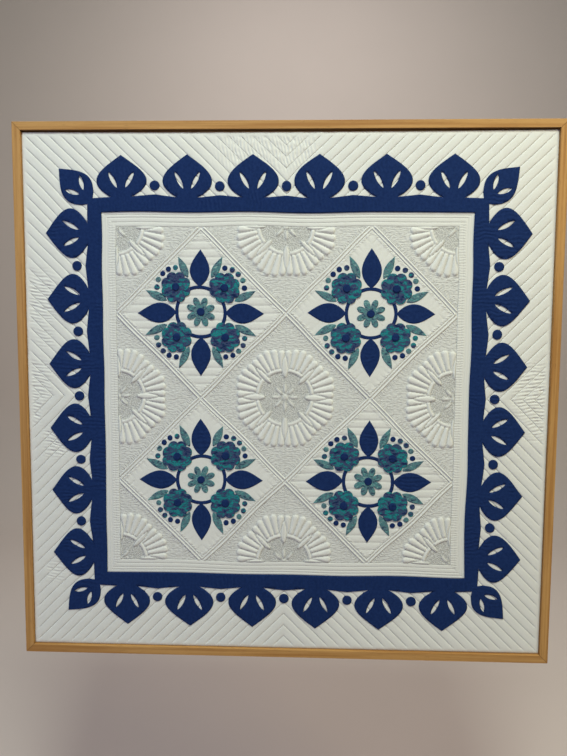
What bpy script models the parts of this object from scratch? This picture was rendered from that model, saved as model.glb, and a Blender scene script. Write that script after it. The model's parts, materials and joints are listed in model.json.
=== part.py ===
"""Applique quilt in a square wooden tray frame, modelled as it hangs on a wall.

The quilt is one padded cloth solid whose face is raised by its quilting: slanting channels in the
outer ground, straight rows inside the navy border, a lattice of four blocks set on point, and
feather wreaths between them. Navy and teal cloth pieces lie on it, each a sheet of its own.

The face is laid out in plan, in metres from the quilt's centre: x to the right and z up. Heights
are measured from the quilt's back towards the viewer, who stands at -Y. The wall is the plane y = 0.
"""
import math

import bmesh
import bpy
from mathutils import Vector
from mathutils.geometry import delaunay_2d_cdt

# Frame
FRAME_SIZE = 1.370
FRAME_DEPTH = 0.0285
RAIL_FACE = 0.0205
LEDGE_WIDTH = 0.012
LEDGE_THICKNESS = 0.0145
RAIL_EASING = 0.0008
FIT_GAP = 0.0003

# Quilt
QUILT_HALF = 0.6638
TOP_SAG_ENDS = 0.0020
TOP_SAG_MIDDLE = 0.0045
TOP_SAG_STEPS = 12
BASE = 0.0048
CHANNEL_PITCH = 0.030
CHANNEL_RISE = 0.0030
CHANNEL_SHOULDER = 0.30
CHANNEL_INNER = 0.478
CHANNEL_OUTER = 0.657
BAND_SHELF = 0.470
SQUARE_HALF = 0.465
FIELD_HALF = 0.430
BORDER_ROWS = 4
ROW_RISE = 0.0012
LATTICE_HALF = 0.0055
LATTICE_RISE = 0.0015
BLOCK_ROW_PITCH = 0.020
BLOCK_ROW_RISE = 0.0015
BLOCK_ROW_CLEARANCE = 0.006

# Feather wreath
FEATHERS = 40
RING_RADIUS = 0.067
RING_HALF = 0.005
RING_STEPS = 24
RING_RISE = 0.0030
FEATHER_CREST = 0.108
FEATHER_TIP = 0.122
FEATHER_RISE = 0.0035

# Cloth pieces
CLOTH = 0.001
BAND_WIDTH = 0.036
BAND_BUMP = 0.006
LOBES = 6
LOBE_PITCH = 0.165
LEAF_REACH = 0.142
LEAF_NECK = 0.026
LEAF_BULGE = 0.054
LEAF_STEPS = 7
CORNER_LEAF_ROOT = 0.492
CORNER_LEAF_LENGTH = 0.112
CORNER_LEAF_NECK = 0.010
CORNER_LEAF_BULGE = 0.036
SLIT_LENGTH = 0.046
SLIT_WIDTH = 0.010
SLIT_TILT = math.radians(28.0)
SLIT_SIDE = 0.021
SLIT_OUT = 0.078
DOT_RADIUS = 0.0125
DOT_OUT = 0.0640
WREATH_RADIUS = 0.062
WREATH_STEM = 0.009
SPUR_TIP = 0.160
SPUR_NECK = 0.004
SPUR_BULGE = 0.024
ROSE_RADIUS = 0.040
ROSE_REACH = 0.088
ROSE_PETALS = 8
ROSETTE_RADIUS = 0.038
ROSETTE_VALLEY = 0.46
ROSETTE_PETALS = 8

BLOCK_STEP = FIELD_HALF / 2
BLOCKS = {
    "nw": (-BLOCK_STEP, BLOCK_STEP),
    "ne": (BLOCK_STEP, BLOCK_STEP),
    "sw": (-BLOCK_STEP, -BLOCK_STEP),
    "se": (BLOCK_STEP, -BLOCK_STEP),
}
SIDES = ("top", "right", "bottom", "left")
QUILT_BACK = LEDGE_THICKNESS + FIT_GAP
CHANNEL_TOP = QUILT_BACK + BASE + CHANNEL_RISE
BLOCK_TOP = QUILT_BACK + BASE + BLOCK_ROW_RISE
FRAME_HALF = FRAME_SIZE / 2
RAIL_BACK_MIDDLE = FRAME_HALF - (RAIL_FACE + LEDGE_WIDTH) / 2

# Colour, roughness and metallic value of each material
FINISHES = {
    "oak": ((0.42, 0.23, 0.09, 1.0), 0.45, 0.0),
    "white_cotton": ((0.74, 0.74, 0.70, 1.0), 0.90, 0.0),
    "navy_cotton": ((0.010, 0.022, 0.110, 1.0), 0.85, 0.0),
    "teal_batik": ((0.020, 0.170, 0.220, 1.0), 0.85, 0.0),
    "slate_batik": ((0.080, 0.130, 0.190, 1.0), 0.85, 0.0),
}


def clear_scene():
    """Remove every object that the file opened with."""
    for old in list(bpy.data.objects):
        bpy.data.objects.remove(old, do_unlink=True)


def make_material(name):
    """Return the Principled material of that name, made on first use."""
    if name in bpy.data.materials:
        return bpy.data.materials[name]
    colour, roughness, metallic = FINISHES[name]
    material = bpy.data.materials.new(name)
    material.use_nodes = True
    shader = material.node_tree.nodes["Principled BSDF"]
    shader.inputs["Base Color"].default_value = colour
    shader.inputs["Roughness"].default_value = roughness
    shader.inputs["Metallic"].default_value = metallic
    material.diffuse_color = colour
    return material


def add_object(name, bm, finish, parent):
    """Turn a bmesh into a named object with its own material, under the quilt's centre."""
    bmesh.ops.recalc_face_normals(bm, faces=bm.faces)
    mesh = bpy.data.meshes.new(name)
    bm.to_mesh(mesh)
    bm.free()
    mesh.materials.append(make_material(finish))
    obj = bpy.data.objects.new(name, mesh)
    obj.parent = parent
    bpy.context.scene.collection.objects.link(obj)
    return obj


def rotated(point, quarter_turns):
    """Turn a plan point clockwise by quarter turns."""
    x, z = point
    for _ in range(quarter_turns % 4):
        x, z = z, -x
    return (x, z)


def rotated_by(point, angle):
    """Turn a plan point counter-clockwise by an angle in radians."""
    x, z = point
    return (x * math.cos(angle) - z * math.sin(angle), x * math.sin(angle) + z * math.cos(angle))


# Frame rails

def rail_section():
    """Corners of the rail's L section, as (distance in from the outer edge, height off the wall)."""
    inner = RAIL_FACE + LEDGE_WIDTH
    return [
        (0.0, 0.0),
        (0.0, FRAME_DEPTH),
        (RAIL_FACE, FRAME_DEPTH),
        (RAIL_FACE, LEDGE_THICKNESS),
        (inner, LEDGE_THICKNESS),
        (inner, 0.0),
    ]


def make_rail(side, quarter_turns, parent):
    """Make one mitred rail: the L section drawn out between two 45 degree ends."""
    mitre_gap = FIT_GAP / 2 * math.sqrt(2.0)
    bm = bmesh.new()
    rings = []
    for end in (-1.0, 1.0):
        ring = []
        for inset, height in rail_section():
            reach = end * (FRAME_HALF - inset - mitre_gap)
            x, z = rotated((reach, FRAME_HALF - inset), quarter_turns)
            ring.append(bm.verts.new((x, -height, z)))
        rings.append(ring)
    first, last = rings
    count = len(first)
    bm.faces.new(first)
    bm.faces.new(last)
    front_edges = []
    for i in range(count):
        j = (i + 1) % count
        bm.faces.new((first[i], first[j], last[j], last[i]))
        if i in (1, 2):
            front_edges.append(bm.edges.get((first[i], last[i])))
    bmesh.ops.bevel(
        bm, geom=front_edges, offset=RAIL_EASING, offset_type="OFFSET", segments=2,
        profile=0.5, affect="EDGES", material=-1,
    )
    return add_object("rail_" + side, bm, "oak", parent)


# Quilt face

def top_edge(x):
    """Height of the quilt's upper edge in plan, which sags between its fixings."""
    middle = 1.0 - (x / QUILT_HALF) ** 2
    return QUILT_HALF - TOP_SAG_ENDS - (TOP_SAG_MIDDLE - TOP_SAG_ENDS) * middle


def wreath_centres():
    """Centres of the feather wreaths: one whole, four halves and four quarters."""
    places = (-FIELD_HALF, 0.0, FIELD_HALF)
    return [(x, z) for x in places for z in places]


def lattice_offsets():
    """Values of x + z and of x - z along which the lattice runs."""
    return (-3 * BLOCK_STEP, -BLOCK_STEP, BLOCK_STEP, 3 * BLOCK_STEP)


def in_field(point, slack=1e-6):
    """Whether a plan point lies in the field inside the border rows."""
    return max(abs(point[0]), abs(point[1])) <= FIELD_HALF + slack


def channel_height(x, z):
    """Rise of the slanting channels, which point to the centre in each quarter."""
    across = abs(abs(x) - abs(z)) / CHANNEL_PITCH
    place = across - math.floor(across + 1e-6)
    near_line = max(0.0, min(place, 1.0 - place))
    return CHANNEL_RISE * min(1.0, near_line / CHANNEL_SHOULDER)


def row_height(reach):
    """Rise of the rows inside the border, by distance from the centre."""
    pitch = (SQUARE_HALF - FIELD_HALF) / BORDER_ROWS
    across = (SQUARE_HALF - reach) / pitch
    place = across - math.floor(across + 1e-6)
    return ROW_RISE * 2.0 * max(0.0, min(place, 1.0 - place))


def lattice_height(x, z):
    """Rise of the raised lattice between the blocks."""
    nearest = min(
        min(abs(x + z - a), abs(x - z - a)) / math.sqrt(2.0) for a in lattice_offsets()
    )
    return LATTICE_RISE * max(0.0, 1.0 - nearest / LATTICE_HALF)


def wreath_height(x, z):
    """Rise of a feather wreath's ring and feathers."""
    cx, cz = min(wreath_centres(), key=lambda c: math.hypot(x - c[0], z - c[1]))
    radius = math.hypot(x - cx, z - cz)
    ring = RING_RISE * max(0.0, 1.0 - abs(radius - RING_RADIUS) / RING_HALF)
    start = RING_RADIUS + RING_HALF
    if radius < start or radius > FEATHER_TIP:
        return ring
    if radius < FEATHER_CREST:
        along = (radius - start) / (FEATHER_CREST - start)
    else:
        along = (FEATHER_TIP - radius) / (FEATHER_TIP - FEATHER_CREST)
    turn = math.atan2(z - cz, x - cx) / (2.0 * math.pi) * FEATHERS
    across = 1.0 - 2.0 * abs(turn - math.floor(turn) - 0.5)
    return ring + FEATHER_RISE * along * max(0.0, across)


def block_height(x, z):
    """Rise of the level rows inside the four blocks."""
    for cx, cz in BLOCKS.values():
        room = BLOCK_STEP - abs(x - cx) - abs(z - cz)
        if room > LATTICE_HALF * math.sqrt(2.0) + BLOCK_ROW_CLEARANCE / 2:
            across = (z - cz) / BLOCK_ROW_PITCH
            place = across - math.floor(across)
            return BLOCK_ROW_RISE * 2.0 * min(place, 1.0 - place)
    return 0.0


def face_height(x, z):
    """Height of the quilt's face above its back."""
    reach = max(abs(x), abs(z))
    if reach > CHANNEL_OUTER + 1e-4:
        return BASE
    if reach > CHANNEL_INNER - 1e-4:
        return BASE + channel_height(x, z)
    if reach > BAND_SHELF - 1e-4:
        return BASE + CHANNEL_RISE
    if reach > FIELD_HALF + 1e-4:
        return BASE + row_height(min(reach, SQUARE_HALF))
    return BASE + max(lattice_height(x, z), wreath_height(x, z), block_height(x, z))


class Plan:
    """Points and lines of the quilt's face, gathered before they are triangulated."""

    def __init__(self):
        self.points = []
        self.lines = []

    def path(self, points, closed=False):
        """Add a run of points joined by lines, rounded so that points that meet are the same."""
        start = len(self.points)
        self.points.extend(Vector((round(x, 7), round(z, 7))) for x, z in points)
        count = len(points)
        self.lines.extend((start + i, start + i + 1) for i in range(count - 1))
        if closed:
            self.lines.append((start + count - 1, start))

    def square(self, half):
        """Add a square loop about the centre."""
        self.path([(-half, -half), (half, -half), (half, half), (-half, half)], closed=True)


def quilt_outline():
    """The quilt's outline, from its lower left corner, with its sagging upper edge."""
    outline = [(-QUILT_HALF, -QUILT_HALF), (QUILT_HALF, -QUILT_HALF)]
    for i in range(TOP_SAG_STEPS + 1):
        x = QUILT_HALF * (1.0 - 2.0 * i / TOP_SAG_STEPS)
        outline.append((x, top_edge(x)))
    return outline


def plan_channels(plan):
    """Lines along the foot and both shoulders of each channel, in all four quarters."""
    plan.square(CHANNEL_OUTER)
    plan.square(CHANNEL_INNER)
    for turns in range(4):
        plan.path([rotated((0.0, CHANNEL_INNER), turns), rotated((0.0, CHANNEL_OUTER), turns)])
    count = int(CHANNEL_OUTER / CHANNEL_PITCH) + 1
    for k in range(count):
        for part in (0.0, CHANNEL_SHOULDER, 1.0 - CHANNEL_SHOULDER):
            offset = (k + part) * CHANNEL_PITCH
            if offset > CHANNEL_OUTER - 0.001:
                continue
            if offset <= CHANNEL_INNER:
                start = (CHANNEL_INNER - offset, CHANNEL_INNER)
            else:
                start = (0.0, offset)
            end = (CHANNEL_OUTER - offset, CHANNEL_OUTER)
            for turns in range(4):
                plan.path([rotated(start, turns), rotated(end, turns)])
                if offset > 0.0:
                    mirrored = [(-start[0], start[1]), (-end[0], end[1])]
                    plan.path([rotated(p, turns) for p in mirrored])


def plan_border_rows(plan):
    """Square loops along the foot and crest of each row inside the navy border."""
    plan.square(BAND_SHELF)
    steps = BORDER_ROWS * 2
    for i in range(steps + 1):
        plan.square(SQUARE_HALF + (FIELD_HALF - SQUARE_HALF) * i / steps)


def plan_lattice(plan):
    """Foot and crest lines of the lattice, each clipped to the field."""
    foot = LATTICE_HALF * math.sqrt(2.0)
    for a in lattice_offsets():
        for shift in (-foot, 0.0, foot):
            total = a + shift
            low = max(-FIELD_HALF, total - FIELD_HALF)
            high = min(FIELD_HALF, total + FIELD_HALF)
            if high - low < 0.002:
                continue
            plan.path([(low, total - low), (high, total - high)])
            plan.path([(low, low - total), (high, high - total)])


def plan_wreaths(plan):
    """Circles and spokes of the wreaths, kept inside the field."""
    steps = FEATHERS * 2
    start = RING_RADIUS + RING_HALF
    for cx, cz in wreath_centres():

        def spot(radius, turn):
            angle = 2.0 * math.pi * turn
            return (cx + radius * math.cos(angle), cz + radius * math.sin(angle))

        circles = ((RING_RADIUS - RING_HALF, RING_STEPS), (RING_RADIUS, RING_STEPS),
                   (start, steps), (FEATHER_CREST, steps), (FEATHER_TIP, steps))
        for radius, count in circles:
            for i in range(count):
                a, b = spot(radius, i / count), spot(radius, (i + 1) / count)
                if in_field(a) and in_field(b):
                    plan.path([a, b])
        for i in range(steps):
            spoke = [spot(r, i / steps) for r in (start, FEATHER_CREST, FEATHER_TIP)]
            if in_field(spoke[0]) and in_field(spoke[2]):
                plan.path(spoke)


def plan_block_rows(plan):
    """Level lines along the foot and crest of each row in the blocks."""
    room = BLOCK_STEP - LATTICE_HALF * math.sqrt(2.0) - BLOCK_ROW_CLEARANCE
    step = BLOCK_ROW_PITCH / 2
    count = int(room / step)
    for cx, cz in BLOCKS.values():
        for j in range(-count, count + 1):
            half = room - abs(j) * step
            if half > 0.002:
                plan.path([(cx - half, cz + j * step), (cx + half, cz + j * step)])


def make_quilt(parent):
    """Triangulate the face's plan, raise each point to its height and close the solid."""
    plan = Plan()
    plan.path(quilt_outline(), closed=True)
    plan_channels(plan)
    plan_border_rows(plan)
    plan_lattice(plan)
    plan_wreaths(plan)
    plan_block_rows(plan)
    points, _, faces, _, _, _ = delaunay_2d_cdt(plan.points, plan.lines, [], 1, 2e-5)
    bm = bmesh.new()
    front = [bm.verts.new((p.x, -QUILT_BACK - face_height(p.x, p.y), p.y)) for p in points]
    for face in faces:
        bm.faces.new([front[i] for i in face])
    bmesh.ops.delete(bm, geom=[v for v in bm.verts if not v.link_faces], context="VERTS")
    rim = [edge for edge in bm.edges if edge.is_boundary]
    extruded = bmesh.ops.extrude_edge_only(bm, edges=rim)
    back = [item for item in extruded["geom"] if isinstance(item, bmesh.types.BMVert)]
    for vert in back:
        vert.co.y = -QUILT_BACK
    back_edges = [item for item in extruded["geom"] if isinstance(item, bmesh.types.BMEdge)]
    open_edges = [edge for edge in back_edges if edge.is_boundary]
    bmesh.ops.contextual_create(bm, geom=open_edges)
    return add_object("quilt", bm, "white_cotton", parent)


# Cloth pieces

def cut_cloth(name, outline, holes, height, finish, parent):
    """Cut a flat sheet to an outline with holes, and lay it at a height off the wall."""
    bm = bmesh.new()
    for loop in [outline] + holes:
        verts = [bm.verts.new((x, -height, z)) for x, z in loop]
        for i, vert in enumerate(verts):
            bm.edges.new((vert, verts[(i + 1) % len(verts)]))
    bmesh.ops.triangle_fill(bm, use_beauty=True, edges=bm.edges)
    grown = bmesh.ops.extrude_face_region(bm, geom=bm.faces[:])
    moved = [item for item in grown["geom"] if isinstance(item, bmesh.types.BMVert)]
    bmesh.ops.translate(bm, verts=moved, vec=(0.0, -CLOTH, 0.0))
    return add_object(name, bm, finish, parent)


def leaf_half_width(along, neck, bulge):
    """Half the width of a leaf at a share of its length from the root to the pointed tip."""
    return neck * (1.0 - along) ** 2 + bulge * math.sin(math.pi * along ** 0.85)


def leaf_outline(root, tip, neck, bulge, steps):
    """Outline of a leaf along +z, from its left root over the tip to its right root."""
    left = []
    for i in range(steps):
        along = i / steps
        left.append((-leaf_half_width(along, neck, bulge), root + (tip - root) * along))
    right = [(-x, z) for x, z in reversed(left)]
    return left + [(0.0, tip)] + right


def border_side():
    """Outline of the border's upper side from left to right, leaf by leaf."""
    band = SQUARE_HALF + BAND_WIDTH
    leaf = leaf_outline(band, SQUARE_HALF + LEAF_REACH, LEAF_NECK, LEAF_BULGE, LEAF_STEPS)
    side = []
    for i in range(LOBES):
        centre = (i - (LOBES - 1) / 2) * LOBE_PITCH
        if i:
            side.append((centre - LOBE_PITCH / 2, band + BAND_BUMP))
        side.extend((centre + x, z) for x, z in leaf)
    return side


def corner_leaf():
    """Outline of the leaf on the upper right corner's diagonal."""
    leaf = leaf_outline(0.0, CORNER_LEAF_LENGTH, CORNER_LEAF_NECK, CORNER_LEAF_BULGE, LEAF_STEPS)
    turned = [rotated_by(p, -math.pi / 4) for p in leaf]
    return [(CORNER_LEAF_ROOT + x, CORNER_LEAF_ROOT + z) for x, z in turned]


def slit(centre, tilt, length, width):
    """A six-cornered slit about a centre, with its length along +z before it is tilted."""
    shape = [(0.0, -length / 2), (width / 2, -length / 6), (width / 2, length / 6),
             (0.0, length / 2), (-width / 2, length / 6), (-width / 2, -length / 6)]
    turned = [rotated_by(p, tilt) for p in shape]
    return [(centre[0] + x, centre[1] + z) for x, z in turned]


def border_slits():
    """A pair of vein slits in each leaf of the upper side, and in the corner leaf."""
    slits = []
    for i in range(LOBES):
        centre = (i - (LOBES - 1) / 2) * LOBE_PITCH
        for hand in (-1.0, 1.0):
            place = (centre + hand * SLIT_SIDE, SQUARE_HALF + SLIT_OUT)
            slits.append(slit(place, -hand * SLIT_TILT, SLIT_LENGTH, SLIT_WIDTH))
    for hand in (-1.0, 1.0):
        x, z = rotated_by((hand * SLIT_SIDE * 0.75, CORNER_LEAF_LENGTH * 0.42), -math.pi / 4)
        place = (CORNER_LEAF_ROOT + x, CORNER_LEAF_ROOT + z)
        slits.append(slit(place, -hand * SLIT_TILT - math.pi / 4, SLIT_LENGTH * 0.8, SLIT_WIDTH))
    return slits


def make_border(parent):
    """Cut the navy border, which is the same on all four sides."""
    outline, holes = [], []
    for turns in range(4):
        outline.extend(rotated(p, turns) for p in border_side() + corner_leaf())
        holes.extend([rotated(p, turns) for p in hole] for hole in border_slits())
    inner = [(-SQUARE_HALF, -SQUARE_HALF), (SQUARE_HALF, -SQUARE_HALF),
             (SQUARE_HALF, SQUARE_HALF), (-SQUARE_HALF, SQUARE_HALF)]
    height = CHANNEL_TOP + FIT_GAP
    return cut_cloth("navy_border", outline, [inner] + holes, height, "navy_cotton", parent)


def make_dots(parent):
    """Lay a round dot in each valley between two leaves of the border."""
    corners = 12
    for turns, side in enumerate(SIDES):
        for i in range(LOBES - 1):
            centre = ((i - (LOBES - 2) / 2) * LOBE_PITCH, SQUARE_HALF + DOT_OUT)
            disc = []
            for j in range(corners):
                dx, dz = rotated_by((DOT_RADIUS, 0.0), 2.0 * math.pi * j / corners)
                disc.append(rotated((centre[0] + dx, centre[1] + dz), turns))
            name = "dot_{}_{}".format(side, i + 1)
            cut_cloth(name, disc, [], CHANNEL_TOP + FIT_GAP, "navy_cotton", parent)


def wreath_outline():
    """Outer outline of a block's ring with its four leaves, one quarter after another."""
    outer = WREATH_RADIUS + WREATH_STEM / 2
    leaf = leaf_outline(outer * 0.99, SPUR_TIP, SPUR_NECK, SPUR_BULGE, LEAF_STEPS)
    half_turn = math.asin(SPUR_NECK / outer)
    arc_steps = 7
    outline = []
    for turns in range(4):
        outline.extend(rotated(p, turns) for p in leaf)
        for i in range(1, arc_steps):
            angle = half_turn + (math.pi / 2 - 2 * half_turn) * i / arc_steps
            point = (outer * math.sin(angle), outer * math.cos(angle))
            outline.append(rotated(point, turns))
    return outline


def scalloped(radius, valley, petals, steps):
    """A round outline with scalloped petals, whose valleys are at a share of the radius."""
    outline = []
    for i in range(petals * steps):
        turn = i / (petals * steps)
        lift = abs(math.sin(math.pi * petals * turn)) ** 0.7
        reach = radius * (valley + (1.0 - valley) * lift)
        outline.append(rotated_by((reach, 0.0), 2.0 * math.pi * turn))
    return outline


def make_block(tag, centre, parent):
    """Lay one block's cloth pieces: wreath, four roses on its diagonals, and a rosette."""
    def placed(points, shift=(0.0, 0.0)):
        return [(centre[0] + shift[0] + x, centre[1] + shift[1] + z) for x, z in points]

    low = BLOCK_TOP + FIT_GAP
    high = low + CLOTH + FIT_GAP
    inner = WREATH_RADIUS - WREATH_STEM / 2
    hole = [rotated_by((inner, 0.0), 2.0 * math.pi * i / 28) for i in range(28)]
    cut_cloth("wreath_" + tag, placed(wreath_outline()), [placed(hole)], low, "navy_cotton", parent)
    rosette = scalloped(ROSETTE_RADIUS, ROSETTE_VALLEY, ROSETTE_PETALS, 4)
    cut_cloth("rosette_" + tag, placed(rosette), [], low, "slate_batik", parent)
    rose = scalloped(ROSE_RADIUS, 0.84, ROSE_PETALS, 3)
    for i in range(4):
        shift = rotated_by((ROSE_REACH, 0.0), math.pi / 4 + math.pi / 2 * i)
        name = "rose_{}_{}".format(tag, i + 1)
        cut_cloth(name, placed(rose, shift), [], high, "teal_batik", parent)


def main():
    """Build the framed quilt about its own centre, hung from the upper rail's back face."""
    clear_scene()
    centre = bpy.data.objects.new("quilt_centre", None)
    centre.location = (0.0, 0.0, -RAIL_BACK_MIDDLE)
    bpy.context.scene.collection.objects.link(centre)
    for turns, side in enumerate(SIDES):
        make_rail(side, turns, centre)
    make_quilt(centre)
    make_border(centre)
    make_dots(centre)
    for tag, place in BLOCKS.items():
        make_block(tag, place, centre)
    bpy.context.view_layer.update()


main()
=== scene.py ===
"""Looks of the framed applique quilt: cloth, quilting, stitching, wood grain, light and camera.

The quilt's face is laid out in plan, in metres from the quilt's centre: x to the right and z up.
Heights are distances off the wall, which is the plane y = 0; the viewer stands at -Y. A cloth piece
is modelled flat in plan, with its lift above the ground as its third coordinate, and is then hung:
plan (x, z) at a height h becomes the point (x, -h, z - HANG).
"""
from __future__ import annotations

import enum
import json
import logging
import math
from collections.abc import Callable, Iterable, Sequence
from dataclasses import dataclass, field

import bmesh
import bpy
import numpy as np
from mathutils import Euler, Matrix, Vector

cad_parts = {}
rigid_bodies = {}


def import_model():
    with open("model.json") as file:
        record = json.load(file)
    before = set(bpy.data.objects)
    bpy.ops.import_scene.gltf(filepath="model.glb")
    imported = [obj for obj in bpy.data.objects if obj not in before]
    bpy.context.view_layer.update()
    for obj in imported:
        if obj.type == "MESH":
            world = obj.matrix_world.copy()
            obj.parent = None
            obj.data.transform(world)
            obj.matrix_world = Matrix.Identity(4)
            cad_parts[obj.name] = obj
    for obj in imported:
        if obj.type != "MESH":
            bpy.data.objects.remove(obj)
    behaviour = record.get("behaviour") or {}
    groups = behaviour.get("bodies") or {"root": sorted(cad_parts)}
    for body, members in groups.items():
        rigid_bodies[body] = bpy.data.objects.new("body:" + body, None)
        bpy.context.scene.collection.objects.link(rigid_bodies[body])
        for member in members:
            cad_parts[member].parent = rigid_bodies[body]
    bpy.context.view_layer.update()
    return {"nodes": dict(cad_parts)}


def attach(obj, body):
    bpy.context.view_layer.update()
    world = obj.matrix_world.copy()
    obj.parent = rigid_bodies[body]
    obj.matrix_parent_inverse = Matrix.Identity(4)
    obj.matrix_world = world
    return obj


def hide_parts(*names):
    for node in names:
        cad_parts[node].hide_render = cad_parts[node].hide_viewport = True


LOG = logging.getLogger("framed_quilt")

Point = tuple[float, float]
Colour = tuple[float, float, float]

HANG = 0.66875
SIDES = ("top", "right", "bottom", "left")
ROOT_TWO = math.sqrt(2.0)


# Small helpers for plan points

def rotated(point: Point, angle: float) -> Point:
    """Turn a plan point counter-clockwise by an angle in radians."""
    x, z = point
    return (x * math.cos(angle) - z * math.sin(angle), x * math.sin(angle) + z * math.cos(angle))


def shifted(points: Iterable[Point], by: Point) -> list[Point]:
    """Move plan points by a step."""
    return [(x + by[0], z + by[1]) for x, z in points]


def smooth_step(low: float, high: float, value: np.ndarray) -> np.ndarray:
    """Rise smoothly from 0 at low to 1 at high."""
    share = np.clip((value - low) / (high - low), 0.0, 1.0)
    return share * share * (3.0 - 2.0 * share)


def puff(depth: np.ndarray, width: float) -> np.ndarray:
    """Rise in a quarter circle from 0 at an edge to 1 at a width inside it."""
    share = np.clip(depth / width, 0.0, 1.0)
    return np.sqrt(1.0 - (1.0 - share) ** 2)


@dataclass(frozen=True)
class Waves:
    """Uneven waves of about one length in every direction, mostly within their height."""

    height: float
    length: float
    seed: int

    def at(self, x: np.ndarray, z: np.ndarray) -> np.ndarray:
        """Their height at each plan point."""
        chance = np.random.default_rng(self.seed)
        total = np.zeros_like(x)
        for _ in range(12):
            angle = chance.uniform(0.0, math.pi)
            wave = 2.0 * math.pi / (self.length * chance.uniform(0.7, 1.4))
            phase = chance.uniform(0.0, 2.0 * math.pi)
            total += np.cos(wave * (x * math.cos(angle) + z * math.sin(angle)) + phase)
        return self.height * (total / 4.0)


# Quilted relief

@dataclass
class Relief:
    """What the quilting does at each point of the face.

    The height is off the wall and seam is the distance to the nearest stitched line. The rest are
    shares from 0 to 1: the first is how far a point is spared painted shade, 1 on full puffed
    height and less in seams and low ground; stipple is of dense stippling, and ladder of short
    level stitches.
    """

    height: np.ndarray
    seam: np.ndarray
    unshaded: np.ndarray | float = 0.0
    stipple: np.ndarray | float = 0.0
    ladder: np.ndarray | float = 0.0


Shape = Callable[[np.ndarray, np.ndarray], "Relief | np.ndarray"]


@dataclass(frozen=True)
class FeatherWreath:
    """A raised wreath: feathers outside a ring, eight spokes across it and petals round a button."""

    rise: float = 0.0041
    feathers: int = 40
    feather_root: float = 0.0735
    feather_neck: float = 0.0049
    feather_head: float = 0.1180
    feather_round: float = 0.0080
    feather_swing: float = 0.0042
    ring_radius: float = 0.0685
    ring_half: float = 0.0046
    spoke_start: float = 0.049
    spoke_end: float = 0.108
    spoke_half: float = 0.0067
    spoke_clear: float = 0.0009
    spoke_shares: tuple[float, float] = (1.12, 0.90)
    axis_reach: float = 0.020
    petal_start: float = 0.0085
    petal_length: float = 0.0265
    petal_half: float = 0.0038
    button_radius: float = 0.0074

    def relief(self, x: np.ndarray, z: np.ndarray, cx: np.ndarray, cz: np.ndarray
               ) -> tuple[np.ndarray, np.ndarray]:
        """Relief about the nearest wreath's centre.

        Args:
            x: Plan x of each point.
            z: Plan z of each point.
            cx: Plan x of the centre nearest to each point.
            cz: Plan z of that centre.

        Returns:
            The rise above the ground and the distance to the nearest edge of a raised shape.
        """
        radius = np.hypot(x - cx, z - cz) + 1e-9
        angle = np.arctan2(z - cz, x - cx)

        def sector(count: int, offset: float) -> np.ndarray:
            width = 2.0 * math.pi / count
            turn = angle / width + offset
            return (turn - np.round(turn)) * width

        spoke_side = np.abs(radius * np.sin(sector(8, 0.0)))
        spoke_place = np.clip((radius - self.spoke_start) / (self.spoke_end - self.spoke_start), 0.0, 1.0)
        on_axis = np.minimum(np.abs(x - cx), np.abs(z - cz)) < self.axis_reach
        spoke_half = np.where(on_axis, *self.spoke_shares) * self.spoke_half \
            * np.sin(math.pi * spoke_place ** 0.75) ** 0.8
        spoke = spoke_half - spoke_side
        clear = np.where(spoke_half > 0.0, spoke_side - spoke_half - self.spoke_clear, 1.0)

        feather_angle = sector(self.feathers, 0.5)
        own = angle - feather_angle
        chance = np.sin(37.0 * own + 91.0 * cx + 53.0 * cz)
        side = np.abs(radius * np.sin(feather_angle) + 0.0006 * chance)
        along = radius * np.cos(feather_angle)
        crest = self.feather_head - self.feather_swing * np.cos(8.0 * own) + 0.0010 * chance
        place = np.clip((along - self.feather_root) / (crest - self.feather_root), 0.0, 1.0)
        body = self.feather_neck + (self.feather_round - self.feather_neck) * place
        neck = np.minimum(body - side, along - self.feather_root)
        head = self.feather_round - np.hypot(along - crest, side)
        feather = np.minimum(np.where(along < crest, neck, head), clear)

        ring = np.minimum(self.ring_half - np.abs(radius - self.ring_radius), clear)
        petal_place = np.clip((radius - self.petal_start) / self.petal_length, 0.0, 1.0)
        petal = self.petal_half * np.sin(math.pi * petal_place ** 1.1) ** 0.7 - spoke_side
        button = self.button_radius - radius

        # Each shape's share of the rise, its distance inward and the width over which it swells
        shapes = ((1.00, feather, 0.0068), (0.75, ring, 0.0036), (0.90, spoke, 0.0050),
                  (0.60, petal, 0.0034), (0.60, button, 0.0050))
        rise = np.maximum.reduce([share * self.rise * puff(inward, width)
                                  for share, inward, width in shapes])
        edge = np.minimum.reduce([np.abs(feather), np.abs(ring), np.abs(spoke), np.abs(petal)])
        return rise, edge


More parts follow.
